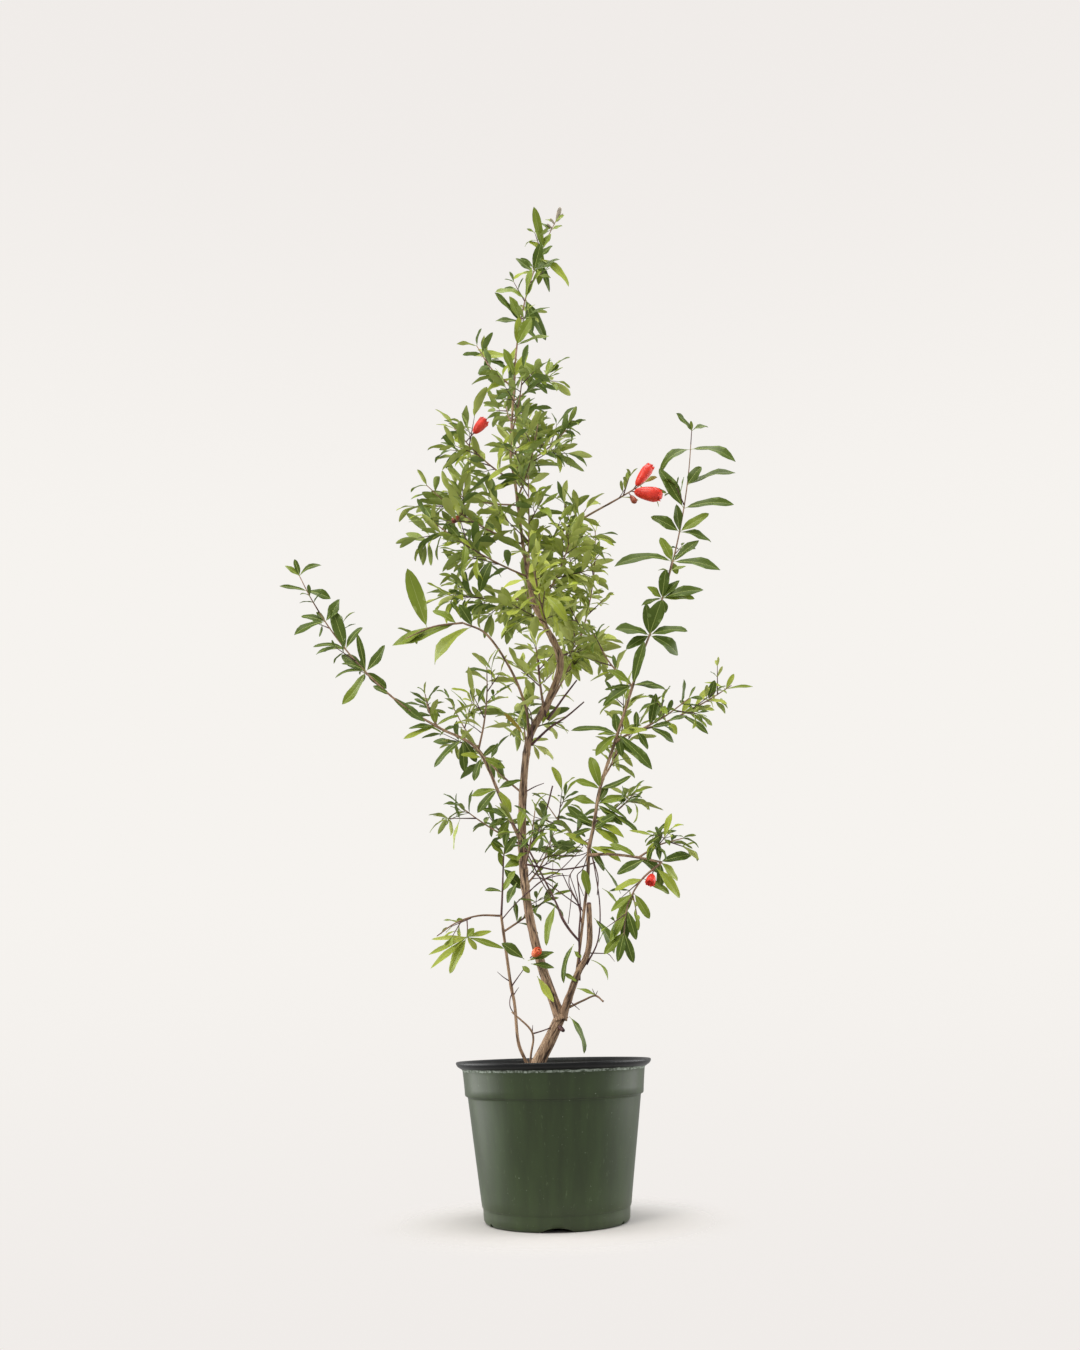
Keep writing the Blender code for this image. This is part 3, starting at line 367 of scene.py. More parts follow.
# Bare twigs that show between the stems: the bends that each passes, with its radius last.
BARE_TWIGS = (
    ((-31, 8, 449, 1.4), (-7, 2, 443, 1.2), (11, -4, 439, 1.1), (42, -12, 441, 1.1), (63, -18, 446, 0.9)),
    ((-34, 12, 484, 1.5), (-27, 8, 469, 1.4), (-11, 0, 436, 1.3), (9, -4, 394, 1.4), (16, -6, 375, 2.0),
     (26, -8, 358, 1.8), (39, -10, 342, 1.6)),
    ((-31, 10, 468, 1.0), (-11, 2, 426, 0.9), (5, -3, 398, 0.7)),
    ((-66, 26, 377, 0.9), (-48, 12, 395, 0.8), (-26, -6, 412, 0.8), (-6, -12, 426, 0.8),
     (15, -16, 437, 0.7), (47, -22, 467, 0.5)),
    ((18, -6, 434, 0.7), (28, -8, 411, 0.8), (38, -12, 393, 0.9), (45, -14, 380, 0.8)),
    ((28, -8, 432, 0.6), (37, -12, 401, 0.7), (41, -12, 378, 0.7)),
    ((30, -10, 405, 0.6), (27, -10, 384, 0.6), (24, -10, 366, 0.6)),
    ((37, -9, 292, 1.5), (38, -12, 321, 1.4), (38, -14, 351, 1.3), (41, -14, 386, 1.1),
     (38, -12, 430, 0.8)),
    ((47, -12, 312, 1.3), (63, -16, 343, 1.0), (67, -20, 386, 0.9), (62, -22, 435, 0.8),
     (56, -20, 466, 0.6)),
    ((8, -2, 556, 1.1), (-3, 0, 518, 1.2), (-18, 4, 486, 1.3), (-31, 10, 463, 1.3)),
    ((-33, 10, 549, 1.0), (-17, 2, 556, 0.8), (-4, -2, 560, 0.5)),
    ((-27, -17, 226, 1.1), (-15, -15, 229, 0.9), (-3, -7, 233, 0.8)),
    ((-27, -17, 226, 1.0), (-26, -17, 237, 0.3)),
    ((-56, 21, 294, 0.9), (-65, 20, 300, 0.6), (-73, 19, 307, 0.3)),
    ((-53, 20, 273, 0.8), (-48, 18, 281, 0.6), (-44, 16, 286, 0.3)),
    ((-53, 19, 280, 0.7), (-56, 14, 271, 0.7), (-56, 14, 261, 0.7), (-51, 18, 252, 0.6)),
    ((57, -15, 272, 0.8), (53, -18, 281, 0.3)),
    ((57, -15, 272, 0.9), (68, -20, 265, 0.3)),
    ((57, -15, 272, 0.8), (60, -22, 278, 0.3)),
    ((228, -30, 1065, 0.8), (230, -30, 1082, 0.7), (232, -30, 1096, 0.4)),
    ((50, -13, 327, 0.9), (66, -15, 326, 0.7), (76, -16, 325, 0.6), (84, -18, 315, 0.3)),
    ((3, 0, 652, 2.0), (16, 4, 670, 1.7), (28, 6, 687, 1.5), (47, 12, 713, 1.1)),
    ((-21, 7, 617, 2.0), (6, 4, 641, 1.7), (30, 2, 656, 1.4), (56, 0, 677, 1.0)),
    ((1, -2, 655, 1.3), (-6, -6, 706, 1.2), (-8, -8, 748, 0.9)),
    ((-19, 2, 622, 1.1), (-20, -10, 657, 0.8), (-27, -12, 671, 0.7)),
    ((6, -2, 236, 3.4), (12, -9, 231, 3.0), (14, -12, 229, 2.4)),
    ((52, -28.1, 389.2, 3.3), (52, -28.4, 390.4, 3.1), (52, -28.7, 391.6, 2.6)),
    ((-12, 5, 454, 0.7), (6, 0, 459, 0.7), (39, -8, 457, 0.7), (58, -18, 462, 0.6)),
    ((-31, 10, 408, 0.8), (-13, 5, 424, 0.7), (10, -2, 431, 0.7), (30, -8, 430, 0.4)),
    ((56, -18, 462, 0.7), (27, -10, 427, 0.7), (38, -13, 392, 0.8), (42, -12, 366, 0.8),
     (41, -11, 344, 0.9)),
    ((57, -18, 470, 0.8), (47, -12, 440, 0.7), (38, -12, 428, 0.7), (46, -14, 402, 0.4)),
    ((-24, 10, 440, 0.7), (16, -6, 407, 0.8), (43, -12, 386, 0.9)),
    ((36, -8, 486, 0.5), (47, -12, 474, 0.6), (57, -17, 461, 0.8)),
    ((60, -18, 480, 0.6), (47, -12, 474, 0.5), (32, -8, 462, 0.5), (20, -4, 458, 0.3)),
    ((57, -18, 460, 1.1), (61, -18, 447, 0.9), (66, -20, 425, 0.8), (64, -20, 402, 0.6)),
    ((8, -4, 462, 0.4), (6, -4, 453, 0.4), (4, -4, 412, 0.3)),
    ((-32, 12, 392, 0.6), (-13, 4, 400, 0.5), (1, 0, 404, 0.4)),
    ((-33, 13, 430, 0.8), (-20, 2, 442, 0.7), (-2, -6, 470, 0.6), (12, -10, 497, 0.5)),
)


def linear(hex_colour):
    """sRGB hex to linear red, green, blue and alpha."""
    parts = [int(hex_colour[i : i + 2], 16) / 255 for i in (1, 3, 5)]
    return [c / 12.92 if c <= 0.04045 else ((c + 0.055) / 1.055) ** 2.4 for c in parts] + [1]


def wire(tree, node, **inputs):
    """Sets a node's inputs to a value, or links them to the output of another node.

    An input is named, with _ for a space, or is i and its number.
    """
    for name, value in inputs.items():
        socket = node.inputs[int(name[1:]) if name[1:].isdigit() else name.replace("_", " ")]
        if isinstance(value, bpy.types.NodeSocket):
            tree.links.new(value, socket)
        else:
            socket.default_value = value


def add_node(tree, kind, settings=None, out=None, **inputs):
    """Adds a node with its settings and links, and gives its output: the one named, or the first in use."""
    node = tree.nodes.new("ShaderNode" + kind)
    for name, value in (settings or {}).items():
        setattr(node, name, value)
    wire(tree, node, **inputs)
    return node.outputs[out] if out else next(socket for socket in node.outputs if socket.enabled)


def laid_over(tree, under, over, pattern, low, high):
    """One colour over another, from none of it where the pattern is low to all of it where it is high."""
    share = add_node(tree, "MapRange", Value=pattern, From_Min=low, From_Max=high)
    return add_node(tree, "Mix", {"data_type": "RGBA"}, i0=share, i6=under, i7=over)


def new_material(name, colour, roughness, ior):
    """A Principled material with plain values, its node tree, its shader and its place in metres."""
    made = bpy.data.materials.new(name)
    made.use_nodes = True
    tree = made.node_tree
    shader = tree.nodes["Principled BSDF"]
    wire(tree, shader, Base_Color=linear(colour), Roughness=roughness, IOR=ior, Metallic=0)
    return made, tree, shader, add_node(tree, "TexCoord", out="Object")


def per_metre(size):
    """The noise scale that gives lumps about that many millimetres wide."""
    return 1 / (size * MM)


def green_polypropylene():
    """Injection-moulded polypropylene, dark green.

    Satin from the mould's fine grain, with streaks where it flowed, and dust and pale scuffs on top.
    """
    made, tree, shader, place = new_material("green_moulded_polypropylene", "#343F22", 0.42, 1.49)
    tall = add_node(tree, "Mapping", Vector=place, Scale=(1, 1, 0.12))
    flow = add_node(tree, "TexNoise", Vector=tall, Scale=per_metre(14), Detail=3)
    body = laid_over(tree, linear("#2B371B"), linear("#334221"), flow, 0.35, 0.7)
    short = add_node(tree, "Mapping", Vector=place, Scale=(1, 1, 0.3))
    rubbed = add_node(tree, "TexNoise", Vector=short, Scale=per_metre(5), Detail=6, Roughness=0.75)
    worn = laid_over(tree, body, linear("#5A6A48"), rubbed, 0.62, 0.78)
    specks = add_node(tree, "TexNoise", Vector=place, Scale=per_metre(2.2), Detail=2)
    dusty = laid_over(tree, worn, linear("#98A28C"), specks, 0.74, 0.78)
    gloss = add_node(tree, "MapRange", Value=rubbed, From_Min=0.62, From_Max=0.78, To_Min=0.38, To_Max=0.62)
    grain = add_node(tree, "TexNoise", Vector=place, Scale=per_metre(1.2), Detail=3)
    bump = add_node(tree, "Bump", Height=grain, Distance=0.05 * MM)
    wire(tree, shader, Base_Color=dusty, Roughness=gloss, Normal=bump)
    return made


def black_polypropylene():
    """The pot's inner layer, polypropylene filled with carbon black.

    Smoother than the green, which gives the lip a soft sheen, and greyed by dust in patches.
    """
    made, tree, shader, place = new_material("black_moulded_polypropylene", "#0C0D10", 0.34, 1.38)
    dust = add_node(tree, "TexNoise", Vector=place, Scale=per_metre(9), Detail=6, Roughness=0.7)
    body = laid_over(tree, linear("#060708"), linear("#1A1B1F"), dust, 0.5, 0.85)
    uneven = add_node(tree, "TexNoise", Vector=place, Scale=per_metre(6), Detail=3)
    bump = add_node(tree, "Bump", Height=uneven, Distance=0.25 * MM)
    wire(tree, shader, Base_Color=body, Normal=bump)
    return made


def worn_edge():
    """The parting line between the pot's two layers: the green skin has torn thin and pale, and is dull."""
    made, tree, shader, place = new_material("worn_polypropylene_edge", "#7E8B7C", 0.6, 1.49)
    ragged = add_node(tree, "TexNoise", Vector=place, Scale=per_metre(3), Detail=5, Roughness=0.7)
    wire(tree, shader, Base_Color=laid_over(tree, linear("#343F2B"), linear("#A3AEA0"), ragged, 0.4, 0.6))
    return made


def peat_compost():
    """Damp peat and composted bark: dull, dark brown, fibrous and crumbly."""
    made, tree, shader, place = new_material("peat_compost", "#33261B", 0.95, 1.4)
    crumbs = add_node(tree, "TexNoise", Vector=place, Scale=per_metre(3.5), Detail=8, Roughness=0.7)
    body = laid_over(tree, linear("#1F1711"), linear("#4F3B29"), crumbs, 0.35, 0.7)
    fibres = add_node(tree, "TexNoise", Vector=place, Scale=per_metre(1.6), Detail=8)
    bump = add_node(tree, "Bump", Height=fibres, Distance=0.8 * MM)
    wire(tree, shader, Base_Color=body, Normal=bump)
    return made


def chip_bark():
    """Chipped pine bark in the compost: dry reddish brown flakes with pale broken layers."""
    made, tree, shader, place = new_material("chipped_pine_bark", "#5F4330", 0.85, 1.45)
    flat = add_node(tree, "Mapping", Vector=place, Scale=(0.33, 1, 1))
    layers = add_node(tree, "TexNoise", Vector=flat, Scale=per_metre(2), Detail=5)
    body = laid_over(tree, linear("#46301F"), linear("#86654A"), layers, 0.35, 0.7)
    bump = add_node(tree, "Bump", Height=layers, Distance=0.4 * MM)
    wire(tree, shader, Base_Color=body, Normal=bump)
    return made


def perlite():
    """Expanded perlite: white, chalky, and pitted by its bubbles."""
    made, tree, shader, place = new_material("expanded_perlite", "#D8D4C8", 0.9, 1.5)
    pits = add_node(tree, "TexNoise", Vector=place, Scale=per_metre(0.8), Detail=4)
    wire(tree, shader, Normal=add_node(tree, "Bump", Height=pits, Distance=0.3 * MM))
    return made


def fissured_bark():
    """Pomegranate bark: dry tan cork, dull, split along the limb, with painted shade that darkens its
    fissures.

    The mesh holds the fissures' relief, and its relief attribute sets the painted shade in them. The pattern
    adds grey and tan patches and fine fibres.
    """
    made, tree, shader, place = new_material("fissured_tan_bark", "#94765A", 0.82, 1.45)
    tall = add_node(tree, "Mapping", Vector=place, Scale=(1, 1, 0.25))
    aged = add_node(tree, "TexNoise", Vector=tall, Scale=per_metre(16), Detail=4)
    cork = laid_over(tree, linear("#AA8A6C"), linear("#D0B494"), aged, 0.35, 0.68)
    long = add_node(tree, "Mapping", Vector=place, Scale=(1, 1, 0.07))
    strands = add_node(tree, "TexNoise", Vector=long, Scale=per_metre(1.4), Detail=5, Roughness=0.65)
    fibres = laid_over(tree, linear("#886C56"), cork, strands, 0.4, 0.66)
    # Painted shade: the colour darkens to dark brown where the relief is low, in the fissures.
    relief = add_node(tree, "Attribute", {"attribute_name": "relief"}, "Fac")
    body = laid_over(tree, linear("#46362B"), fibres, relief, 0.1, 0.62)
    bump = add_node(tree, "Bump", Height=strands, Distance=0.5 * MM)
    wire(tree, shader, Base_Color=body, Normal=bump)
    return made


def young_bark(name, dark, light):
    """Bark of this and last year's shoots: thin, smooth, slightly waxy, and mottled by lenticels."""
    made, tree, shader, place = new_material(name, light, 0.58, 1.45)
    mottle = add_node(tree, "TexNoise", Vector=place, Scale=per_metre(9), Detail=4)
    wire(tree, shader, Base_Color=laid_over(tree, linear(dark), linear(light), mottle, 0.35, 0.65))
    return made


def leaf_side(name, colour, roughness):
    """One side of a leathery leaf: one colour under a waxy skin, with side veins that break its shine."""
    made, tree, shader, place = new_material(name, colour, roughness, 1.34)
    veins = add_node(tree, "TexNoise", Vector=place, Scale=per_metre(2.6), Detail=3)
    wire(tree, shader, Normal=add_node(tree, "Bump", Height=veins, Distance=0.2 * MM))
    return made


def waxy_red(name, dark, light, roughness):
    """The leathery calyx or crepe petal of a pomegranate flower: a soft waxy shine over faint streaks."""
    made, tree, shader, place = new_material(name, light, roughness, 1.46)
    blush = add_node(tree, "TexNoise", Vector=place, Scale=per_metre(5), Detail=3)
    body = laid_over(tree, linear(dark), linear(light), blush, 0.35, 0.65)
    bump = add_node(tree, "Bump", Height=blush, Distance=0.15 * MM)
    wire(tree, shader, Base_Color=body, Normal=bump)
    return made


def new_piece(name, vertices, faces, materials, finishes=None, nodes=(), values=None):
    """A joined mesh, taken from millimetres to metres, which rides on the plant and replaces those nodes."""
    mesh = bpy.data.meshes.new(name)
    mesh.from_pydata((np.asarray(vertices, dtype=float) * MM).tolist(), [], faces)
    for material in materials:
        mesh.materials.append(material)
    if finishes is not None:
        mesh.polygons.foreach_set("material_index", np.asarray(finishes, dtype=np.int32))
    if values is not None:
        relief = mesh.attributes.new("relief", "FLOAT", "POINT")
        relief.data.foreach_set("value", np.asarray(values, dtype=float))
    mesh.polygons.foreach_set("use_smooth", [True] * len(mesh.polygons))
    made = bpy.data.objects.new(name, mesh)
    bpy.context.scene.collection.objects.link(made)
    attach(made, "root")
    if nodes:
        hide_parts(*nodes)
    return made


class Heap:
    """Shapes of one kind, gathered until they become one piece."""

    def __init__(self):
        self.vertices, self.faces, self.nodes = [], [], set()

    def add(self, vertices, faces, node=None):
        """Adds one shape, which stands for a node if one is given."""
        base = len(self.vertices)
        self.vertices.extend(vertices)
        self.faces.extend([tuple(base + i for i in face) for face in faces])
        if node:
            self.nodes.add(node)

    def piece(self, name, material, slot):
        """The finished piece."""
        return new_piece(name, self.vertices, self.faces, [material], nodes=sorted(self.nodes))


def smooth_curve(knots, steps):
    """Points of a Catmull-Rom curve through the knots, with that many steps from knot to knot."""
    knots = [Vector(k) for k in knots]
    ends = [knots[0] * 2 - knots[1]] + knots + [knots[-1] * 2 - knots[-2]]
    points = []
    for a, b, c, d in zip(ends, ends[1:], ends[2:], ends[3:]):
        for step in range(steps):
            t = step / steps
            bend = (a * 2 - b * 5 + c * 4 - d) * t**2
            points.append((b * 2 + (c - a) * t + bend + (b * 3 - a - c * 3 + d) * t**3) / 2)
    return points + [knots[-1]]


def in_space(curve):
    """The places of a curve whose points also hold a radius."""
    return [place.to_3d() for place in curve]


def tangents(points):
    """The direction of the path at each of its points."""
    last = len(points) - 1
    return [(points[min(i + 1, last)] - points[max(i - 1, 0)]).normalized() for i in range(last + 1)]


def reaches(points):
    """The length of the path up to each of its points."""
    total = [0.0]
    for a, b in zip(points, points[1:]):
        total.append(total[-1] + (b - a).length)
    return total


def round_turns(count, start=0.0):
    """Cosine and sine of the angle to each of that many places round a circle."""
    angles = [2 * math.pi * (k + start) / count for k in range(count)]
    return [(math.cos(angle), math.sin(angle)) for angle in angles]


def rings(points, radii, sides, shape=None, level_foot=False):
    """A closed tube along the points. The shape gives each vertex a factor on the radius, from its angle."""
    along = tangents(points)
    if level_foot:
        along[0] = UP.copy()
    side = along[0].orthogonal().normalized()
    vertices = []
    for ring, (point, radius, heading) in enumerate(zip(points, radii, along)):
        side = (side - heading * side.dot(heading)).normalized()
        across = heading.cross(side)
        for k in range(sides):
            angle = 2 * math.pi * k / sides
            reach = radius * (shape(ring, angle) if shape else 1)
            vertices.append(point + (side * math.cos(angle) + across * math.sin(angle)) * reach)
    return vertices, tube_faces(len(points), sides)


def tube_faces(count, sides):
    """Faces of a tube with that many rings, and a flat face at each end."""
    faces = []
    for ring in range(count - 1):
        for k in range(sides):
            a, b = ring * sides + k, ring * sides + (k + 1) % sides
            faces.append((a, b, b + sides, a + sides))
    return faces + [tuple(reversed(range(sides))), tuple(range((count - 1) * sides, count * sides))]


def tapered(points, first, last, sides):
    """A tube whose radius goes evenly from the first to the last."""
    radii = [first + (last - first) * k / (len(points) - 1) for k in range(len(points))]
    return rings(points, radii, sides)


def arc(start, azimuth, rise, turn, length):
    """Points along a stem that sets out at that rise and has turned by that angle at its tip."""
    steps = max(2, round(length / STEM_STEP))
    points = [start]
    for step in range(steps):
        pitch = math.radians(rise + turn * (step + 0.5) / steps)
        level = math.cos(pitch)
        heading = Vector((math.cos(azimuth) * level, math.sin(azimuth) * level, math.sin(pitch)))
        points.append(points[-1] + heading * (length / steps))
    return points


def at_share(points, share):
    """The point and direction at that share of a path with even steps."""
    place = share * (len(points) - 1)
    i = min(int(place), len(points) - 2)
    return points[i].lerp(points[i + 1], place - i), (points[i + 1] - points[i]).normalized()


def turned_side(along, angle):
    """A direction square to a twig, level at angle 0 and turned about the twig by the angle in degrees."""
    return Matrix.Rotation(math.radians(angle), 3, along) @ along.cross(UP).normalized()


def leaning(along, side, angle):
    """A direction that leans from the twig to the side by the angle in degrees."""
    return along * math.cos(math.radians(angle)) + side * math.sin(math.radians(angle))


def spot(limb, height):
    """The point on the solid limb's path at that height, or its tip where there is no height."""
    points = in_space(smooth_curve(limb.knots, SPAN_STEPS))
    if height is None:
        return points[-1]
    for a, b in zip(points, points[1:]):
        low, high = sorted((a.z, b.z))
        if low <= height <= high:
            return a.lerp(b, (height - a.z) / (b.z - a.z))
    raise ValueError(f"{limb.name} does not pass {height} mm")


# Bark: spacing of the rings and of the vertices round a limb. Its fissures' spacing, length, wander, width
# and depth, and its flakes and lumps. Levels of ridges and flakes, which also set the painted shade in the
# fissures. Swellings at twigs and at a limb's foot.
RING_STEP = 2.4
FEWEST_STEPS = 4
SIDE_STEP = 0.95
FEWEST_SIDES = 10
FISSURE_SPACING = 3.2
FISSURE_LENGTH = 34
FISSURE_WANDER = 0.35
WANDER_SCALE = 2.1
FISSURE_WIDTH = 0.2
FISSURE_DEPTH = 0.075
FLAKE_SCALE = 0.55
FLAKE_HEIGHT = 0.04
LUMP_LENGTH = 5
LUMP_HEIGHT = 0.07
RIDGE_LEVEL = 0.66
FLAKE_LEVEL = 0.3
KNOB_REACH = 5
KNOB_HEIGHT = 0.16
MOST_KNOBS = 1.5
COLLAR_REACH = 9
COLLAR_HEIGHT = 0.45

# Places in the noise, so far apart that no limb or layer repeats another.
LIMB_APART = (7.3, 3.1)
WANDER_APART = Vector((11, 5, 3))
FLAKE_APART = Vector((3, 17, 9))


def bark_relief(angle, reach, radius, seed):
    """Share of the radius that the bark stands out, and its height from 0 in a fissure to 1 on a ridge, which
    sets the bark's painted shade.
    """
    across, deep = math.cos(angle), math.sin(angle)
    place = Vector((across, deep, 0)) * radius / FISSURE_SPACING
    place += Vector((seed * LIMB_APART[0], seed * LIMB_APART[1], reach / FISSURE_LENGTH))
    wander = noise.noise(place * WANDER_SCALE + WANDER_APART)
    groove = max(0, 1 - abs(noise.noise(place) + FISSURE_WANDER * wander) / FISSURE_WIDTH)
    flake = noise.noise(place * FLAKE_SCALE + FLAKE_APART)
    lump = noise.noise(Vector((across, deep, reach / (radius * LUMP_LENGTH))) + Vector((seed, 0, 0)))
    height = max(0.0, min(1.0, RIDGE_LEVEL - RIDGE_LEVEL * groove + FLAKE_LEVEL * flake))
    return 1 - FISSURE_DEPTH * groove + FLAKE_HEIGHT * flake + LUMP_HEIGHT * lump, height


def build_limb(limb, knobs, bark, seed):
    """One limb with its bark's relief, and swellings where twigs leave it."""
    name, knots = limb
    rough_length = reaches([Vector(knot[:3]) for knot in knots])[-1]
    steps = max(FEWEST_STEPS, round(rough_length / (len(knots) - 1) / RING_STEP))
    curve = smooth_curve(knots, steps)
    points = in_space(curve)
    far = reaches(points)
    radii = []
    for place, point, reach in zip(curve, points, far):
        swelling = sum(math.exp(-(((point - knob).length / KNOB_REACH) ** 2)) for knob in knobs)
        collar = 0 if name in STANDING else COLLAR_HEIGHT * math.exp(-reach / COLLAR_REACH)
        radii.append(place.w * (1 + KNOB_HEIGHT * min(swelling, MOST_KNOBS) + collar))
    sides = max(FEWEST_SIDES, round(2 * math.pi * knots[0][3] / SIDE_STEP))
    heights = []

    def shape(ring, angle):
        share, height = bark_relief(angle, far[ring], radii[ring], seed)
        heights.append(height)
        return share

    vertices, faces = rings(points, radii, sides, shape, name in STANDING)
    new_piece(name + "_bark", vertices, faces, [bark], nodes=[name], values=heights)


def build_limbs(limbs):
    """All limbs with their bark, knobbed where masses leave them."""
    bark = fissured_bark()
    knobs = {name: [] for name in limbs}
    for mass in MASSES:
        if mass.height is not None:
            knobs[mass.limb].append(spot(limbs[mass.limb], mass.height))
    for seed, limb in enumerate(LIMBS):
        build_limb(limb, knobs[limb.name], bark, seed)


# Leaves: stations along the blade and columns across it, where None is an edge of the midrib. The petiole's
# share, width and taper, and how soon the blade widens and closes. The midrib's width, taper, greatest share
# of the blade and depth. The blade's thickness, waves, their shift from edge to edge, arching and droop.
STATIONS = np.array([0, 0.07, 0.16, 0.28, 0.42, 0.56, 0.7, 0.83, 0.93, 1.0])
UPPER_COLUMNS = (-1, -0.5, None, None, 0.5, 1)
UNDER_COLUMNS = (-1, 0, 1)
PETIOLE = 0.07
PETIOLE_WIDTH = 1.0
PETIOLE_TAPER = 0.9
FOOT_POWER = 0.85
TIP_POWER = 0.74
RIB_WIDTH = 1.0
RIB_TAPER = 0.7
RIB_SHARE = 0.5
RIB_DEPTH = 0.12
BLADE_THICKNESS = 0.32
WAVES = 1.5
WAVE_HEIGHT = 0.24
WAVE_SHIFT = 2.2
CROSS_ARCH = 0.3
DROOP_POWER = 1.4


def blade_profile(stations):
    """Half the width of a lanceolate blade at each station, 1 where it is widest."""
    share = np.clip((stations - PETIOLE) / (1 - PETIOLE), 0, 1)
    wide = share**FOOT_POWER * (1 - share) ** TIP_POWER
    return wide / wide.max()


def sheet_faces(count, columns, upward, first):
    """Faces and finishes of one side of that many leaves, whose points begin at the first."""
    i, j = np.meshgrid(np.arange(len(STATIONS) - 1), np.arange(columns - 1), indexing="ij")
    a = (i * columns + j).ravel()
    quad = np.stack([a, a + 1, a + columns + 1, a + columns], axis=1)
    bases = first + np.arange(count) * len(STATIONS) * columns
    faces = (quad if upward else quad[:, ::-1])[None] + bases[:, None, None]
    midrib = (j.ravel() == UPPER_COLUMNS.index(None)) & upward
    finishes = np.where(midrib | (i.ravel() == 0), 1, 0 if upward else 2)
    return faces.reshape(-1, 4), np.tile(finishes, count)


def leaf_sheets(leaves):
    """Vertices, faces and finishes of many leaves: upper side 0, midrib 1 and underside 2.

    A leaf is its root, heading, face, length, half width, droop, fold, twist and the phase of its waves.
    """
    root, heading, face, length, half, droop, fold, twist, phase = (
        np.array([leaf[i] for leaf in leaves], dtype=float) for i in range(9)
    )
    u = STATIONS[None, :]
    bend = (droop[:, None] * u**DROOP_POWER)[..., None]
    steps = (np.diff(STATIONS, prepend=0)[None, :] * length[:, None])[..., None]
    tangent = heading[:, None, :] * np.cos(bend) - face[:, None, :] * np.sin(bend)
    normal = face[:, None, :] * np.cos(bend) + heading[:, None, :] * np.sin(bend)
    centre = root[:, None, :] + np.cumsum(tangent * steps, axis=1)
    turn = (twist[:, None] * u)[..., None]
    side = np.cross(heading, face)[:, None, :]
    across = side * np.cos(turn) + normal * np.sin(turn)
    normal = normal * np.cos(turn) - side * np.sin(turn)
    stalk = PETIOLE_WIDTH / 2 * (1 - PETIOLE_TAPER * u)
    wide = np.maximum(half[:, None] * blade_profile(STATIONS)[None, :], stalk)
    rib = np.minimum(RIB_WIDTH / 2 * (1 - RIB_TAPER * u), wide * RIB_SHARE)

    def sheet(columns, lift):
        """Points of one side of the leaves, in columns across each."""
        rows = []
        for number, column in enumerate(columns):
            far = number > (len(columns) - 1) / 2
            x = wide * column if column is not None else rib * (1 if far else -1)
            share = np.abs(x) / wide
            swing = 2 * np.pi * (WAVES * u + phase[:, None]) + (WAVE_SHIFT if far else 0)
            wave = share**2 * np.sin(swing)
            z = np.abs(x) * np.tan(fold)[:, None]
            z = z + wide * (CROSS_ARCH * share * (1 - share) + WAVE_HEIGHT * wave)
            z = z + (lift - (RIB_DEPTH if column is None or column == 0 else 0)) * (1 - share)
            rows.append(centre + across * x[..., None] + normal * z[..., None])
        return np.stack(rows, axis=2).reshape(-1, 3)

    top = sheet(UPPER_COLUMNS, 0)
    under = sheet(UNDER_COLUMNS, -BLADE_THICKNESS)
    top_faces, top_finishes = sheet_faces(len(leaves), len(UPPER_COLUMNS), True, 0)
    under_faces, under_finishes = sheet_faces(len(leaves), len(UNDER_COLUMNS), False, len(top))
    faces = np.concatenate([top_faces, under_faces])
    return np.concatenate([top, under]), faces, np.concatenate([top_finishes, under_finishes])


# Stems, twigs and spurs in the foliage: radii, sides, steps of their curves, and the shares left bare.
STEM_RADIUS = 1.6
STEM_TIP_RADIUS = 0.7
STEM_SIDES = 7
STEM_STEPS = 5
TWIG_RADIUS = 1.05
TWIG_SIDES = 6
TWIG_STEPS = 3
SPUR_RADIUS = 0.8
SPUR_SIDES = 5
TIP_RADIUS = 0.45
BARE_STEM = 0.1
BARE_TWIG = 0.2
BARE_SPUR = 0.3

# How spurs grow: where on their path, how far they stray and lift, their runs, and how they sway and sag.
SPUR_START = 0.08
SPUR_ZONE = 0.84
SPUR_STRAY = (0.1, 0.9)
SPUR_TURN_STRAY = 30
SPUR_SPREADS = (40, 66)
SPUR_SIZES = (0.5, 1.25)
SPUR_LIFT = 0.15
SPUR_RUNS = 4
SPUR_SWAY = 0.1
SPUR_SAG = 0.03
SPUR_LEAF_SPACING = 12
SPUR_LEAF_SIZE = 0.8

# How leaves stray from the rule. The droop is least, most and likeliest, and all angles are in degrees.
HEADING_STRAY = 14
HEADING_LIFTS = (-0.18, 0.2)
FACE_LEANS = (0.2, 0.9)
LEAF_ROLL = 42
LEAF_SIZES = (0.74, 1.14)
LEAF_WIDTHS = (0.85, 1.2)
LEAF_DROOPS = (-15, 75, 30)
LEAF_FOLDS = (4, 26)
LEAF_TWIST = 40

# Pairs of leaves: the room before the first and after the last in spacings, and how they turn and shrink on
# the way. Then the leaves in their axils, the pair at the tip, and the share of leaves of another tint.
FIRST_PAIR = 0.6
SPARE_ROOM = 0.2
PAIR_STRAY = 18
PAIR_SIZE_AT_FOOT = 1.05
PAIR_SIZE_LOSS = 0.25
AXIL_LEAF_SIZES = (0.35, 0.7)
AXIL_LEAF_WIDTH = 1.1
AXIL_LEAF_SPREAD = 0.75
END_PLACE = 0.99
END_LEAF_SIZES = (0.5, 0.85)
END_LEAF_SPREAD = 22
STRAY_TINTS = 0.35

# Clearance: leaves keep off the limbs, and out of the view of the leader's bare stretch and of the blossom.
FINE_STEPS = 8
LEAF_PROBES = (0.4, 0.7, 1)
LIMB_CLEARANCE = 2.5
EYE = Vector(CAMERA_PLACE) / MM
STEM_IN_VIEW = (560, 900)
STEM_VIEW_WIDTH = 7
BLOSSOM_PROBES = (0.4, 0.85)
BLOSSOM_VIEW_RADIUS = 15

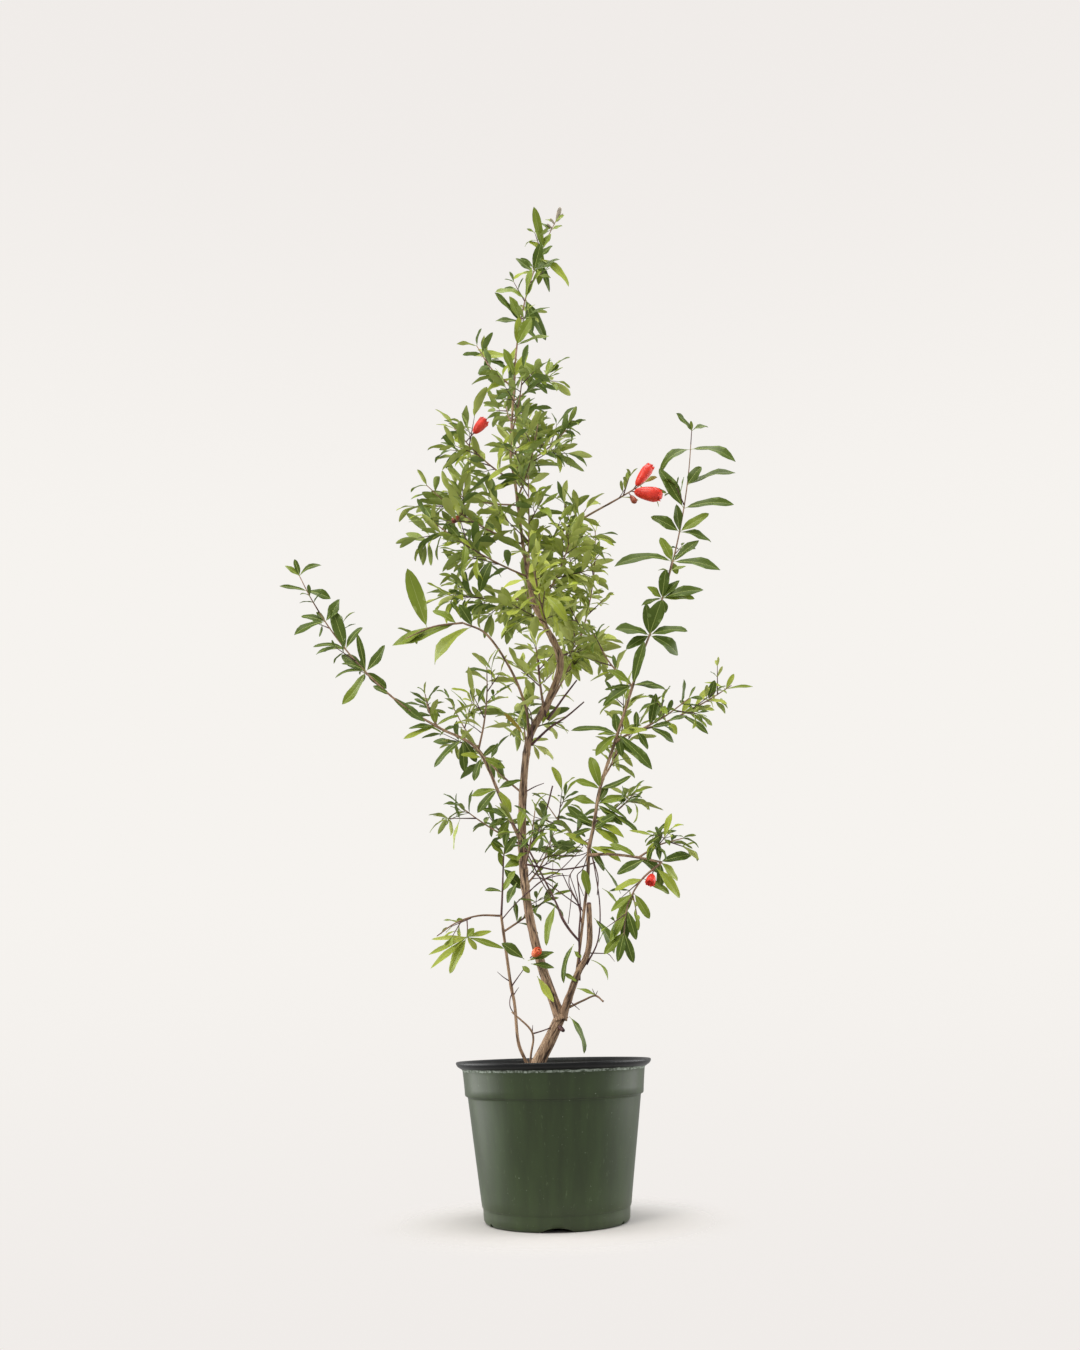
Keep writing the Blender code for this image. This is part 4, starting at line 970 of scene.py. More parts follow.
# Single and traced leaves: fold, what the droop adds to the chord, and how traced ones face and lean.
SINGLE_FOLD = 10
CHORD_LOSS = 0.045
TRACED_WIDTH = 1.08
TRACED_LENGTH = 1.06
TRACED_DEPTH = 0.35
FACE_SIDEWAYS = 0.3
FACE_FORWARD = (0.75, 1.1)
FACE_UPWARD = (0.3, 0.65)


def source_twigs(mass, start):
    """The stem and side twigs of a mass, drawn from the same seed as its solid."""
    rng = random.Random(mass.name)
    stem = arc(start, math.radians(mass.azimuth), mass.rise, mass.turn, mass.length)
    twigs = [stem]
    for k in range(mass.side_twigs):
        share = FIRST_TWIG + TWIG_ZONE * (k + rng.uniform(*TWIG_STRAY)) / mass.side_twigs
        foot, along = at_share(stem, share)
        side = turned_side(along, k * TURN_OF_TWIGS + rng.uniform(-TURN_STRAY, TURN_STRAY))
        spread = TWIG_SPREAD + rng.uniform(-TWIG_SPREAD_STRAY, TWIG_SPREAD_STRAY)
        heading = (leaning(along, side, spread) + UP * TWIG_LIFT).normalized()
        size = rng.uniform(*TWIG_SIZES) * (TWIG_SIZE_AT_FOOT - TWIG_SIZE_LOSS * share)
        twigs.append([foot, foot + heading * mass.twig_length * size])
    return twigs


def grow_spurs(rng, path, spacing, length):
    """Spurs of a few short runs, which leave a path at golden angles, waver and sag a little."""
    count = round(reaches(path)[-1] / spacing)
    spurs = []
    for k in range(count):
        foot, along = at_share(path, SPUR_START + SPUR_ZONE * (k + rng.uniform(*SPUR_STRAY)) / count)
        side = turned_side(along, k * TURN_OF_TWIGS + rng.uniform(-SPUR_TURN_STRAY, SPUR_TURN_STRAY))
        heading = (leaning(along, side, rng.uniform(*SPUR_SPREADS)) + UP * SPUR_LIFT).normalized()
        run = length * rng.uniform(*SPUR_SIZES) / SPUR_RUNS
        sway = Vector([rng.uniform(-SPUR_SWAY, SPUR_SWAY) for _ in range(3)]) - UP * SPUR_SAG
        points = [foot]
        for _ in range(SPUR_RUNS):
            heading = (heading + sway).normalized()
            points.append(points[-1] + heading * run)
        spurs.append(points)
    return spurs


def new_leaf(rng, root, along, side, length, half_width, spread):
    """A leaf that leaves its twig at the spread angle, turns its face to the light and arches over."""
    heading = leaning(along, side, spread + rng.uniform(-HEADING_STRAY, HEADING_STRAY))
    heading = (heading + UP * rng.uniform(*HEADING_LIFTS)).normalized()
    face = along * rng.uniform(*FACE_LEANS) + UP
    face = (face - heading * face.dot(heading)).normalized()
    face = Matrix.Rotation(math.radians(rng.uniform(-LEAF_ROLL, LEAF_ROLL)), 3, heading) @ face
    length *= rng.uniform(*LEAF_SIZES)
    half = length * half_width * rng.uniform(*LEAF_WIDTHS)
    droop = math.radians(rng.triangular(*LEAF_DROOPS))
    fold = math.radians(rng.uniform(*LEAF_FOLDS))
    twist = math.radians(rng.uniform(-LEAF_TWIST, LEAF_TWIST))
    return root, heading, face, length, half, droop, fold, twist, rng.random()


def leaves_on(rng, path, habit, spacing, size, bare):
    """Pairs of leaves, each a quarter turn on from the last, small ones in the axils, and two at the tip."""
    nodes = max(1, round(reaches(path)[-1] * (1 - bare) / spacing))
    start = rng.uniform(0, 90)
    leaves = []
    for k in range(nodes):
        share = bare + (1 - bare) * (k + FIRST_PAIR) / (nodes + SPARE_ROOM)
        root, along = at_share(path, share)
        quarter = start + k * 90 + rng.uniform(-PAIR_STRAY, PAIR_STRAY)
        long = habit.length * size * (PAIR_SIZE_AT_FOOT - PAIR_SIZE_LOSS * share)
        for turn in (0, 180):
            side = turned_side(along, quarter + turn)
            leaves.append(new_leaf(rng, root, along, side, long, habit.half_width, habit.spread))
        for _ in range(int(habit.axils + rng.random())):
            side = turned_side(along, rng.uniform(0, 360))
            small = long * rng.uniform(*AXIL_LEAF_SIZES)
            wide, spread = habit.half_width * AXIL_LEAF_WIDTH, habit.spread * AXIL_LEAF_SPREAD
            leaves.append(new_leaf(rng, root, along, side, small, wide, spread))
    root, along = at_share(path, END_PLACE)
    for turn in (0, 180):
        small = habit.length * size * rng.uniform(*END_LEAF_SIZES)
        side = turned_side(along, start + turn)
        leaves.append(new_leaf(rng, root, along, side, small, habit.half_width, END_LEAF_SPREAD))
    return leaves


def blossom_line(limbs, flower):
    """Where a flower's or bud's stalk leaves its mass, and the way it heads."""
    mass = next(mass for mass in MASSES if mass.name == flower.mass)
    stem = source_twigs(mass, spot(limbs[mass.limb], mass.height))[0]
    foot, _ = at_share(stem, flower.share)
    return foot, (arc(foot, math.radians(flower.azimuth), flower.rise, 0, 2)[-1] - foot).normalized()


class OpenAir:
    """Where leaves may be: clear of the limbs, and out of the way of the leader and the blossom in view."""

    def __init__(self, limbs):
        curve = [place for limb in limbs.values() for place in smooth_curve(limb.knots, FINE_STEPS)]
        self.radii = [place.w for place in curve]
        self.tree = KDTree(len(curve))
        for i, place in enumerate(curve):
            self.tree.insert(place.to_3d(), i)
        self.tree.balance()
        self.leader = in_space(smooth_curve(limbs["leader"].knots, FINE_STEPS))
        self.blossoms = []
        for flower in BLOSSOM:
            foot, heading = blossom_line(limbs, flower)
            self.blossoms += [foot + heading * flower.length * share for share in BLOSSOM_PROBES]

    def touches_limb(self, place):
        """Whether the place is in a limb or too near to it."""
        _, i, gap = self.tree.find(place)
        return gap < self.radii[i] + LIMB_CLEARANCE

    def hides_leader(self, place):
        """Whether the place covers the leader where it shows."""
        if place.y >= 0:
            return False
        seen = EYE + (place - EYE) * (EYE.y / (EYE.y - place.y))
        near = min(self.leader, key=lambda point: abs(point.z - seen.z))
        return STEM_IN_VIEW[0] < seen.z < STEM_IN_VIEW[1] and abs(seen.x - near.x) < STEM_VIEW_WIDTH

    def hides_blossom(self, place):
        """Whether the place covers a flower or bud."""
        for centre in self.blossoms:
            seen = EYE + (place - EYE) * ((centre.y - EYE.y) / (place.y - EYE.y))
            if place.y < centre.y and (seen - centre).length < BLOSSOM_VIEW_RADIUS:
                return True
        return False

    def holds(self, leaf):
        """Whether the leaf's blade is in the open air."""
        root, heading, _, length = leaf[:4]
        places = [root + heading * length * share for share in LEAF_PROBES]
        return not any(self.touches_limb(p) or self.hides_leader(p) or self.hides_blossom(p) for p in places)


def single_leaf(rng, root, tip, face, width, droop):
    """A leaf from its root to its tip, with its upper side towards the face vector."""
    root, chord = Vector(root), Vector(tip) - Vector(root)
    ahead = chord.normalized()
    face = (Vector(face) - ahead * ahead.dot(Vector(face))).normalized()
    bend = math.radians(droop)
    lift = bend / (1 + DROOP_POWER)
    heading = ahead * math.cos(lift) + face * math.sin(lift)
    upper = face * math.cos(lift) - ahead * math.sin(lift)
    length = chord.length * (1 + CHORD_LOSS * bend**2)
    return root, heading, upper, length, width / 2, bend, math.radians(SINGLE_FOLD), 0.0, rng.random()


def traced_leaf(rng, root, angle, length, width, droop):
    """A leaf that shows at that angle on the picture, with its face to the light and the camera."""
    turn = math.radians(angle)
    sight = (root - EYE).normalized()
    upright = Vector((1, 0, 0)).cross(sight).normalized()
    reach = Vector((math.cos(turn), 0, 0)) + upright * math.sin(turn)
    reach = (reach + sight * rng.uniform(-TRACED_DEPTH, TRACED_DEPTH)) * (length * TRACED_LENGTH)
    sideways, forward = rng.uniform(-FACE_SIDEWAYS, FACE_SIDEWAYS), rng.uniform(*FACE_FORWARD)
    face = (sideways, -forward, rng.uniform(*FACE_UPWARD))
    return single_leaf(rng, root, root + reach, face, width * TRACED_WIDTH, droop)


def one_tint(rng, mix):
    """A leaf tint dealt out by that mix."""
    return rng.choices(list(MIXES[mix]), list(MIXES[mix].values()))[0]


def grow_twigs(rng, mass, stem, side_twigs, stems, twigs):
    """A mass's stem, twigs and spurs, put on their heaps.

    Gives its habit, and the path, leaf spacing, leaf size and bare share of each spray.
    """
    traced = mass.name in TRACED_LEAVES
    habit = HABITS["sparse" if traced else mass.habit]
    curve = smooth_curve(stem, STEM_STEPS)
    stems.add(*tapered(curve, STEM_RADIUS, STEM_TIP_RADIUS, STEM_SIDES), node=mass.name)
    sprays = []
    for path in side_twigs if traced else (stem, *side_twigs):
        if path is not stem:
            curve = smooth_curve(path, TWIG_STEPS)
            twigs.add(*tapered(curve, TWIG_RADIUS, TIP_RADIUS, TWIG_SIDES), node=mass.name)
        sprays.append((path, habit.spacing, 1.0, BARE_STEM if path is stem else BARE_TWIG))
        for spur in grow_spurs(rng, path, habit.spur_spacing, habit.spur_length):
            twigs.add(*tapered(spur, SPUR_RADIUS, TIP_RADIUS, SPUR_SIDES), node=mass.name)
            sprays.append((spur, SPUR_LEAF_SPACING, SPUR_LEAF_SIZE, BARE_SPUR))
    return habit, sprays


def grow_foliage(limbs):
    """Stems, twigs and leaves of all the masses by kind and by tint, and the masses that bear each tint."""
    stems, twigs, air = Heap(), Heap(), OpenAir(limbs)
    leaves = {tint: [] for tint in TINTS}
    masses_of = {tint: set() for tint in TINTS}
    paths = {}
    for name, limb in limbs.items():
        paths[name] = in_space(smooth_curve(limb.knots, SPAN_STEPS)), "shaded"
    paths.update({name: ([Vector(knot[:3]) for knot in knots], mix) for name, mix, knots in LEAFY_TWIGS})
    for mass in MASSES:
        rng = random.Random(mass.name + " leaves")
        stem, *side_twigs = source_twigs(mass, spot(limbs[mass.limb], mass.height))
        paths[mass.name] = stem, mass.mix
        if mass.habit == "bare":
            curve = smooth_curve(stem[:2], TWIG_STEPS)
            twigs.add(*tapered(curve, TWIG_RADIUS, TIP_RADIUS, TWIG_SIDES), node=mass.name)
            continue
        habit, sprays = grow_twigs(rng, mass, stem, side_twigs, stems, twigs)
        for path, spacing, size, bare in sprays:
            spray_tint = one_tint(rng, mass.mix)
            for leaf in leaves_on(rng, path, habit, spacing, size, bare):
                tint = one_tint(rng, mass.mix) if rng.random() < STRAY_TINTS else spray_tint
                if air.holds(leaf):
                    leaves[tint].append(leaf)
                    masses_of[tint].add(mass.name)
    rng = random.Random("traced leaves")
    for shoot, nodes in TRACED_LEAVES.items():
        path, mix = paths[shoot]
        for share, *rows in nodes:
            root, _ = at_share(path, share)
            for row in rows:
                leaves[one_tint(rng, mix)].append(traced_leaf(rng, root, *row))
    for tint, *row in SINGLE_LEAVES:
        leaves[tint].append(single_leaf(rng, *row))
    return stems, twigs, leaves, masses_of


def build_foliage(limbs):
    """Leaf pieces by tint, and the twigs that bear them."""
    stems, twigs, leaves, masses_of = grow_foliage(limbs)
    bare = Heap()
    for knots in BARE_TWIGS + tuple(knots for _, _, knots in LEAFY_TWIGS):
        curve = smooth_curve(knots, STEM_STEPS)
        bare.add(*rings(in_space(curve), [place.w for place in curve], STEM_SIDES))
    maroon = young_bark("maroon_twig_bark", "#40282A", "#664540")
    stems.piece("branchlets", young_bark("brown_branchlet_bark", "#705440", "#9E7F66"), "bark")
    twigs.piece("twigs", maroon, "bark")
    bare.piece("bare_twigs", maroon, "bark")
    rib = leaf_side("pale_midrib", "#9CAA5C", 0.45)
    for tint, (upper, under) in TINTS.items():
        waxy = leaf_side(f"waxy_{tint}_leaf", upper, 0.42)
        matt = leaf_side(f"matt_{tint}_underside", under, 0.6)
        vertices, faces, finishes = leaf_sheets(leaves[tint])
        nodes = sorted(masses_of[tint])
        new_piece(f"{tint}_leaves", vertices, faces.tolist(), [waxy, rib, matt], finishes, nodes)


# Calyx: its sides and lobes, its outline from base to mouth as shares of length and radius, and the mouth
# shut and open. Where the lobes start, their span and depth, the ribs, how a bud is pinched, the wall, the
# least width of its lining, the throat, and the row of the outline where the lining ends.
CALYX_SIDES = 36
CALYX_LOBES = 6
CALYX_OUTLINE = (
    (0.0, 0.16), (0.03, 0.36), (0.1, 0.55), (0.25, 0.76), (0.42, 0.9), (0.58, 0.98), (0.72, 1.0),
)
CLOSED_TIP = ((0.84, 0.84), (0.93, 0.52), (1.0, 0.12))
OPEN_TIP = ((0.84, 1.06), (0.93, 1.12), (1.0, 1.14))
LOBE_START = 0.72
LOBE_SPAN = 0.28
LOBE_DEPTH = 0.2
CALYX_RIBS = 0.015
RIBS_AT_BASE = 0.3
RIBS_GAIN = 0.7
BUD_PINCH = 0.07
CALYX_WALL = 0.1
LEAST_LINING = 0.03
CALYX_THROAT = (0.45, 0.02)
LINED_FROM = 4

# Petals: number, grid and thickness, how they stray round the mouth and crumple, their reach and width as
# shares of the radius, and their rise as shares of the length.
PETAL_COUNT = 7
PETAL_ROWS = 7
PETAL_COLUMNS = 6
PETAL_THICKNESS = 0.25
PETAL_STRAY = 0.2
CRUMPLE_SCALES = (3.2, 2.4)
CRUMPLE = 0.26
PETAL_FOOT = 0.4
PETAL_FLARE = (0.3, 0.35)
PETAL_WIDTH = 0.62
PETAL_OUTLINE = (0.12, 0.8)
PETAL_BASE = 0.6
PETAL_RISE = (0.36, 0.06)
PETAL_ROUNDING = 0.18

# Stalks of flowers: radii and sides. Withered buds at the top: foot, tip and radius, and how open they are.
STALK_RADII = (0.9, 0.8, 1.2)
STALK_SIDES = 8
WITHERED_BUDS = (
    ((38, 4, 1494), (45, 4, 1521), 3.6),
    ((39, 3, 1493), (49, 1, 1506), 2.3),
    ((31, 4, 1480), (22, 1, 1487), 2.1),
    ((35, 4, 1488), (28, 1, 1498), 1.9),
)
WITHERED_OPENING = 0.3


def calyx(foot, heading, length, radius, opened):
    """A waxy funnel whose mouth ends in pointed lobes; a closed bud has them drawn together."""
    outline = list(CALYX_OUTLINE)
    for (place, shut), (_, wide) in zip(CLOSED_TIP, OPEN_TIP):
        outline.append((place, shut + (wide - shut) * opened))
    side = heading.orthogonal().normalized()
    across = heading.cross(side)
    lining = reversed(outline[LINED_FROM:])
    inner = [(place, max(LEAST_LINING, wide - CALYX_WALL)) for place, wide in lining]
    walls = outline + inner + [CALYX_THROAT]
    vertices = []
    for place, wide in walls:
        rim = max(0, (place - LOBE_START) / LOBE_SPAN)
        for k in range(CALYX_SIDES):
            angle = 2 * math.pi * k / CALYX_SIDES
            lobe = abs(((k * CALYX_LOBES / CALYX_SIDES) % 1) * 2 - 1)
            axial = place - rim * (1 - lobe) * LOBE_DEPTH * opened
            ridge = 1 + CALYX_RIBS * math.cos(CALYX_LOBES * angle) * (RIBS_AT_BASE + RIBS_GAIN * place)
            reach = radius * wide * ridge * (1 - BUD_PINCH * rim * (1 - lobe) * (1 - opened))
            out = side * math.cos(angle) + across * math.sin(angle)
            vertices.append(foot + heading * length * axial + out * reach)
    return vertices, tube_faces(len(walls), CALYX_SIDES)


def petals(rng, foot, heading, length, radius, opened):
    """Crumpled petals that stand out of the calyx mouth."""
    side = heading.orthogonal().normalized()
    across = heading.cross(side)
    flare = PETAL_FLARE[0] + PETAL_FLARE[1] * opened
    lift = PETAL_RISE[0] + PETAL_RISE[1] * opened
    shapes = []
    for k in range(PETAL_COUNT):
        angle = 2 * math.pi * (k + rng.uniform(-PETAL_STRAY, PETAL_STRAY)) / PETAL_COUNT
        out = side * math.cos(angle) + across * math.sin(angle)
        wide = heading.cross(out)
        seed = rng.uniform(0, 50)
        front = []
        for i in range(PETAL_ROWS):
            u = i / (PETAL_ROWS - 1)
            for j in range(PETAL_COLUMNS):
                v = j / (PETAL_COLUMNS - 1) * 2 - 1
                crumple = noise.noise(Vector((u * CRUMPLE_SCALES[0], v * CRUMPLE_SCALES[1], seed)))
                reach = radius * (PETAL_FOOT + flare * u + CRUMPLE * crumple)
                bulge = math.sin(math.pi * (PETAL_OUTLINE[0] + PETAL_OUTLINE[1] * u))
                span = radius * PETAL_WIDTH * bulge * v
                rise = length * (PETAL_BASE + lift * u * (1 - PETAL_ROUNDING * v * v))
                front.append(foot + heading * rise + out * reach + wide * span)
        back = [place - out * PETAL_THICKNESS for place in front]
        grid = []
        for i in range(PETAL_ROWS - 1):
            for j in range(PETAL_COLUMNS - 1):
                a = i * PETAL_COLUMNS + j
                grid.append((a, a + 1, a + PETAL_COLUMNS + 1, a + PETAL_COLUMNS))
        rear = [tuple(len(front) + n for n in reversed(face)) for face in grid]
        shapes.append((front + back, grid + rear))
    return shapes


def build_blossom(limbs):
    """Flowers and buds on their masses, each on its stalk, and the withered buds at the top."""
    finishes = {
        "scarlet": waxy_red("waxy_scarlet_calyx", "#D42C1E", "#F0402E", 0.36),
        "russet": waxy_red("waxy_russet_bud", "#7C3524", "#A85438", 0.42),
        "orange": waxy_red("waxy_orange_bud", "#D4582E", "#EE7E4A", 0.38),
    }
    calyces = {finish: Heap() for finish in finishes}
    stalks, crepe, withered = Heap(), Heap(), Heap()
    for flower in BLOSSOM:
        foot, heading = blossom_line(limbs, flower)
        base = foot + heading * flower.length * flower.stalk
        path = [foot, foot.lerp(base, 0.5), base + heading]
        stalks.add(*rings(path, STALK_RADII, STALK_SIDES), node=flower.mass)
        funnel = base, heading, flower.length * (1 - flower.stalk), flower.radius, flower.opened
        calyces[flower.finish].add(*calyx(*funnel), node=flower.mass)
        if flower.opened > 0:
            for shape in petals(random.Random(flower.mass + str(flower.share)), *funnel):
                crepe.add(*shape, node=flower.mass)
    for foot, tip, radius in WITHERED_BUDS:
        foot, tip = Vector(foot), Vector(tip)
        length = (tip - foot).length
        withered.add(*calyx(foot, (tip - foot).normalized(), length, radius, WITHERED_OPENING))
    for finish, heap in calyces.items():
        heap.piece(f"{finish}_calyces", finishes[finish], "foliage")
    crepe.piece("petals", waxy_red("crumpled_scarlet_petal", "#DE2C20", "#F4503C", 0.5), "foliage")
    withered.piece("withered_buds", young_bark("dry_bud_scales", "#6E6558", "#A39A86"), "foliage")
    stalks.piece("flower_stalks", young_bark("flower_stalk_bark", "#5A3A30", "#7C5443"), "bark")


# The pot's rings from the underside outwards, and up to the lip: radius and height. Between the foot and the
# collar the wall is straight. The last rows are the black lip, whose ragged lower edge is worn pale.
FOOT_RINGS = (
    (60, 9), (84, 9), (85.5, 0.4), (87.5, 0), (89.8, 0.9), (91.4, 2.6),
    (92.1, 5), (92.6, 11), (92.9, 17.2), (93.1, 18.2), (93.9, 18.9), (94.4, 19.8),
)
WALL_RINGS = 12
WALL_RISE = 128
COLLAR_RINGS = (
    (112, 148.9), (112.6, 149.9), (113.9, 150.5), (115.0, 151.2),
    (115.6, 152.4), (116.2, 160), (117.3, 171), (118.0, 177),
)
WORN_RINGS = ((118.5, 181.4), (119.0, 183.2))
LIP_RINGS = (
    (120.2, 184.2), (122.2, 185.2), (124.4, 186.6), (126.0, 188.4), (126.9, 190.2), (127, 191.6),
    (126.6, 192.6), (125.4, 193), (123.6, 192.8), (121.6, 191.6), (119.4, 189.2), (117.6, 186.4),
)
INNER_HEIGHTS = (184, 175, 165, 156, 147, 100, 50, FOOT_TOP)
FLOOR_TOP = 11.5
FLOOR_CORNER = 2
FLOOR_CENTRE = 60

# How the moulding strays from a true round: its warp, and coarse and fine tears at the edge of the green.
POT_WARP = 0.5
WARP_TURNS = 1.3
WARP_LENGTH = 90
EDGE_TEAR = 0.7
TEAR_TURNS = 22
FINE_TEAR = 0.6
FINE_TEAR_TURNS = 60

# Cuts in the foot: azimuths, and width, height, depth, flatness and flare. The arches are wider and lower
# than in the solid, and wavy.
ARCH_AZIMUTHS = (270, 360, 450, 540)
ARCH = (46, 5.5, 14, 2.6, 1.5)
NOTCH_AZIMUTHS = (208, 332, 28, 152)
NOTCH = (7, 4.5, 6, 6, 1)
CUT_STEPS = 16
CUT_BELOW = -2
CUT_BEYOND = 8
LEAST_CUT = 0.02


def inner_radius(height):
    """Radius of the pot's inside at that height."""
    if height >= COLLAR_BOTTOM:
        share = (height - COLLAR_BOTTOM) / (COLLAR_TOP - COLLAR_BOTTOM)
        return COLLAR_BOTTOM_RADIUS + (COLLAR_TOP_RADIUS - COLLAR_BOTTOM_RADIUS) * share - WALL
    share = (height - FOOT_TOP) / (COLLAR_BOTTOM - FOOT_TOP)
    return BODY_BOTTOM_RADIUS + (BODY_TOP_RADIUS - BODY_BOTTOM_RADIUS) * share - WALL


def build_pot():
    """The two-layer nursery pot with its flared lip, and its drain arches and notches cut at the foot."""
    green, worn, black = 0, 1, 2
    low_radius, low = FOOT_RINGS[-1]
    wall = []
    for k in range(1, WALL_RINGS + 1):
        radius = low_radius + (BODY_TOP_RADIUS - low_radius) * k / WALL_RINGS
        wall.append((radius, low + WALL_RISE * k / WALL_RINGS))
    inside = [(inner_radius(height), height) for height in INNER_HEIGHTS]
    inside += [(inner_radius(FOOT_TOP) - FLOOR_CORNER, FLOOR_TOP), (FLOOR_CENTRE, FLOOR_TOP)]
    outline = [(ring, green) for ring in (*FOOT_RINGS, *wall, *COLLAR_RINGS)]
    outline += [(ring, worn) for ring in WORN_RINGS]
    outline += [(ring, black) for ring in (*LIP_RINGS, *inside)]
    vertices, finishes = [], []
    for (radius, height), finish in outline:
        ragged = EDGE_TEAR if (radius, height) in (*WORN_RINGS, LIP_RINGS[0]) else 0
        for across, deep in round_turns(POT_SEGMENTS, 0.5):
            at = Vector((across, deep, 0))
            tear = ragged * (noise.noise(at * TEAR_TURNS) + FINE_TEAR * noise.noise(at * FINE_TEAR_TURNS))
            warp = POT_WARP * noise.noise(at * WARP_TURNS + Vector((0, 0, height / WARP_LENGTH)))
            vertices.append(at * (radius + warp) + Vector((0, 0, height + tear)))
        finishes += [finish] * POT_SEGMENTS
    faces = tube_faces(len(outline), POT_SEGMENTS)
    finishes = finishes[: len(faces) - 2] + [green, black]
    materials = [green_polypropylene(), worn_edge(), black_polypropylene()]
    pot = new_piece("nursery_pot", vertices, faces, materials, finishes, ["pot"])
    cutters = [foot_cutter(azimuth, *ARCH) for azimuth in ARCH_AZIMUTHS]
    cutters += [foot_cutter(azimuth, *NOTCH) for azimuth in NOTCH_AZIMUTHS]
    for cutter in cutters:
        modifier = pot.modifiers.new("cut", "BOOLEAN")
        modifier.operation = "DIFFERENCE"
        modifier.object = cutter
        bpy.context.view_layer.update()
        cut = bpy.data.meshes.new_from_object(pot.evaluated_get(bpy.context.evaluated_depsgraph_get()))
        pot.modifiers.clear()
        pot.data = cut
        bpy.data.objects.remove(cutter)


def foot_cutter(azimuth, width, height, depth, flatness, flare):
    """A closed shape that cuts an arch or a notch in the foot, flat at its crown and flared at its sides."""
    turn = Matrix.Rotation(math.radians(azimuth), 3, "Z")
    outline = [(-width / 2, CUT_BELOW)]
    for i in range(CUT_STEPS + 1):
        x = i / (CUT_STEPS / 2) - 1
        outline.append((x * width / 2, max(height * (1 - abs(x) ** flatness) ** flare, LEAST_CUT)))
    outline.append((width / 2, CUT_BELOW))
    shape = bmesh.new()
    near, far = (
        [shape.verts.new(turn @ Vector((reach, x, z)) * MM) for x, z in outline]
        for reach in (FOOT_RADIUS - depth, FOOT_RADIUS + CUT_BEYOND)
    )
    for i in range(len(near)):
        j = (i + 1) % len(near)
        shape.faces.new((near[i], near[j], far[j], far[i]))
    shape.faces.new(near)
    shape.faces.new(far[::-1])
    bmesh.ops.recalc_face_normals(shape, faces=shape.faces)
    mesh = bpy.data.meshes.new("cutter")
    shape.to_mesh(mesh)
    shape.free()
    cutter = bpy.data.objects.new("cutter", mesh)
    bpy.context.scene.collection.objects.link(cutter)
    return cutter


# Soil: the grid of its top, its gap to the wall, how its rings are spread, its lumps as width and height, how
# far it has settled, and its mound round the trunk. Below its top it follows the pot: height and gap.
SOIL_RINGS = 46
SOIL_SIDES = 120
SOIL_GAP = 0.4
SOIL_SPREAD = 0.9
SOIL_LUMPS = ((22, 1.6), (7, 1.2), (2.6, 0.7))
SOIL_SETTLED = 2.6
MOUND_HEIGHT = 3.5
MOUND_PLACE = -27
MOUND_RADIUS = 30
SOIL_SKIRT = ((156, 0.6), (147, 0.6), (FOOT_TOP, 0.6), (12, 2.6))

# Crumbs on the soil: number and size of bark chips and of perlite, and how flat each lies.
CHIP_COUNT = 420
CHIP_SIZES = (2, 6.5)
CHIP_BREADTHS = (0.4, 0.8)
CHIP_THICKNESSES = (0.18, 0.4)
PERLITE_COUNT = 90
PERLITE_SIZES = (1.2, 2.4)
PERLITE_SHAPE = (1, 0.9, 0.8)
CRUMB_EDGE = 6
CRUMB_SHOWN = 0.4
CRUMB_ROWS = 4
CRUMB_SIDES = 7
CRUMB_ENDS = 0.94
CRUMB_TURN = 6.28
CRUMB_TILT = 0.5
CRUMB_ROUGHNESS = (0.75, 1.1)


def soil_height(x, y):
    """Height of the soil's crumbly top, mounded a little towards the trunk."""
    place = Vector((x, y, 0))
    lumps = sum(noise.noise(place / width) * height for width, height in SOIL_LUMPS)
    mound = MOUND_HEIGHT * math.exp(-(((x - MOUND_PLACE) ** 2 + y**2) / MOUND_RADIUS**2))
    return SOIL_TOP - SOIL_SETTLED + lumps + mound


def build_soil():
    """The compost that fills the pot, with bark chips and perlite crumbs on its top."""
    outer = inner_radius(SOIL_TOP) - SOIL_GAP
    vertices = [Vector((0, 0, soil_height(0, 0)))]
    for ring in range(1, SOIL_RINGS + 1):
        radius = outer * (ring / SOIL_RINGS) ** SOIL_SPREAD
        for across, deep in round_turns(SOIL_SIDES):
            x, y = radius * across, radius * deep
            vertices.append(Vector((x, y, soil_height(x, y))))
    for height, gap in SOIL_SKIRT:
        radius = inner_radius(max(height, FOOT_TOP)) - gap
        for across, deep in round_turns(SOIL_SIDES):
            vertices.append(Vector((radius * across, radius * deep, height)))
    faces = [(0, 1 + k, 1 + (k + 1) % SOIL_SIDES) for k in range(SOIL_SIDES)]
    for ring in range(SOIL_RINGS + len(SOIL_SKIRT) - 1):
        for k in range(SOIL_SIDES):
            a, b = 1 + ring * SOIL_SIDES + k, 1 + ring * SOIL_SIDES + (k + 1) % SOIL_SIDES
            faces.append((a, a + SOIL_SIDES, b + SOIL_SIDES, b))
    faces.append(tuple(range(len(vertices) - SOIL_SIDES, len(vertices)))[::-1])
    new_piece("compost", vertices, faces, [peat_compost()], nodes=["soil"])
    scatter_crumbs(outer - CRUMB_EDGE)


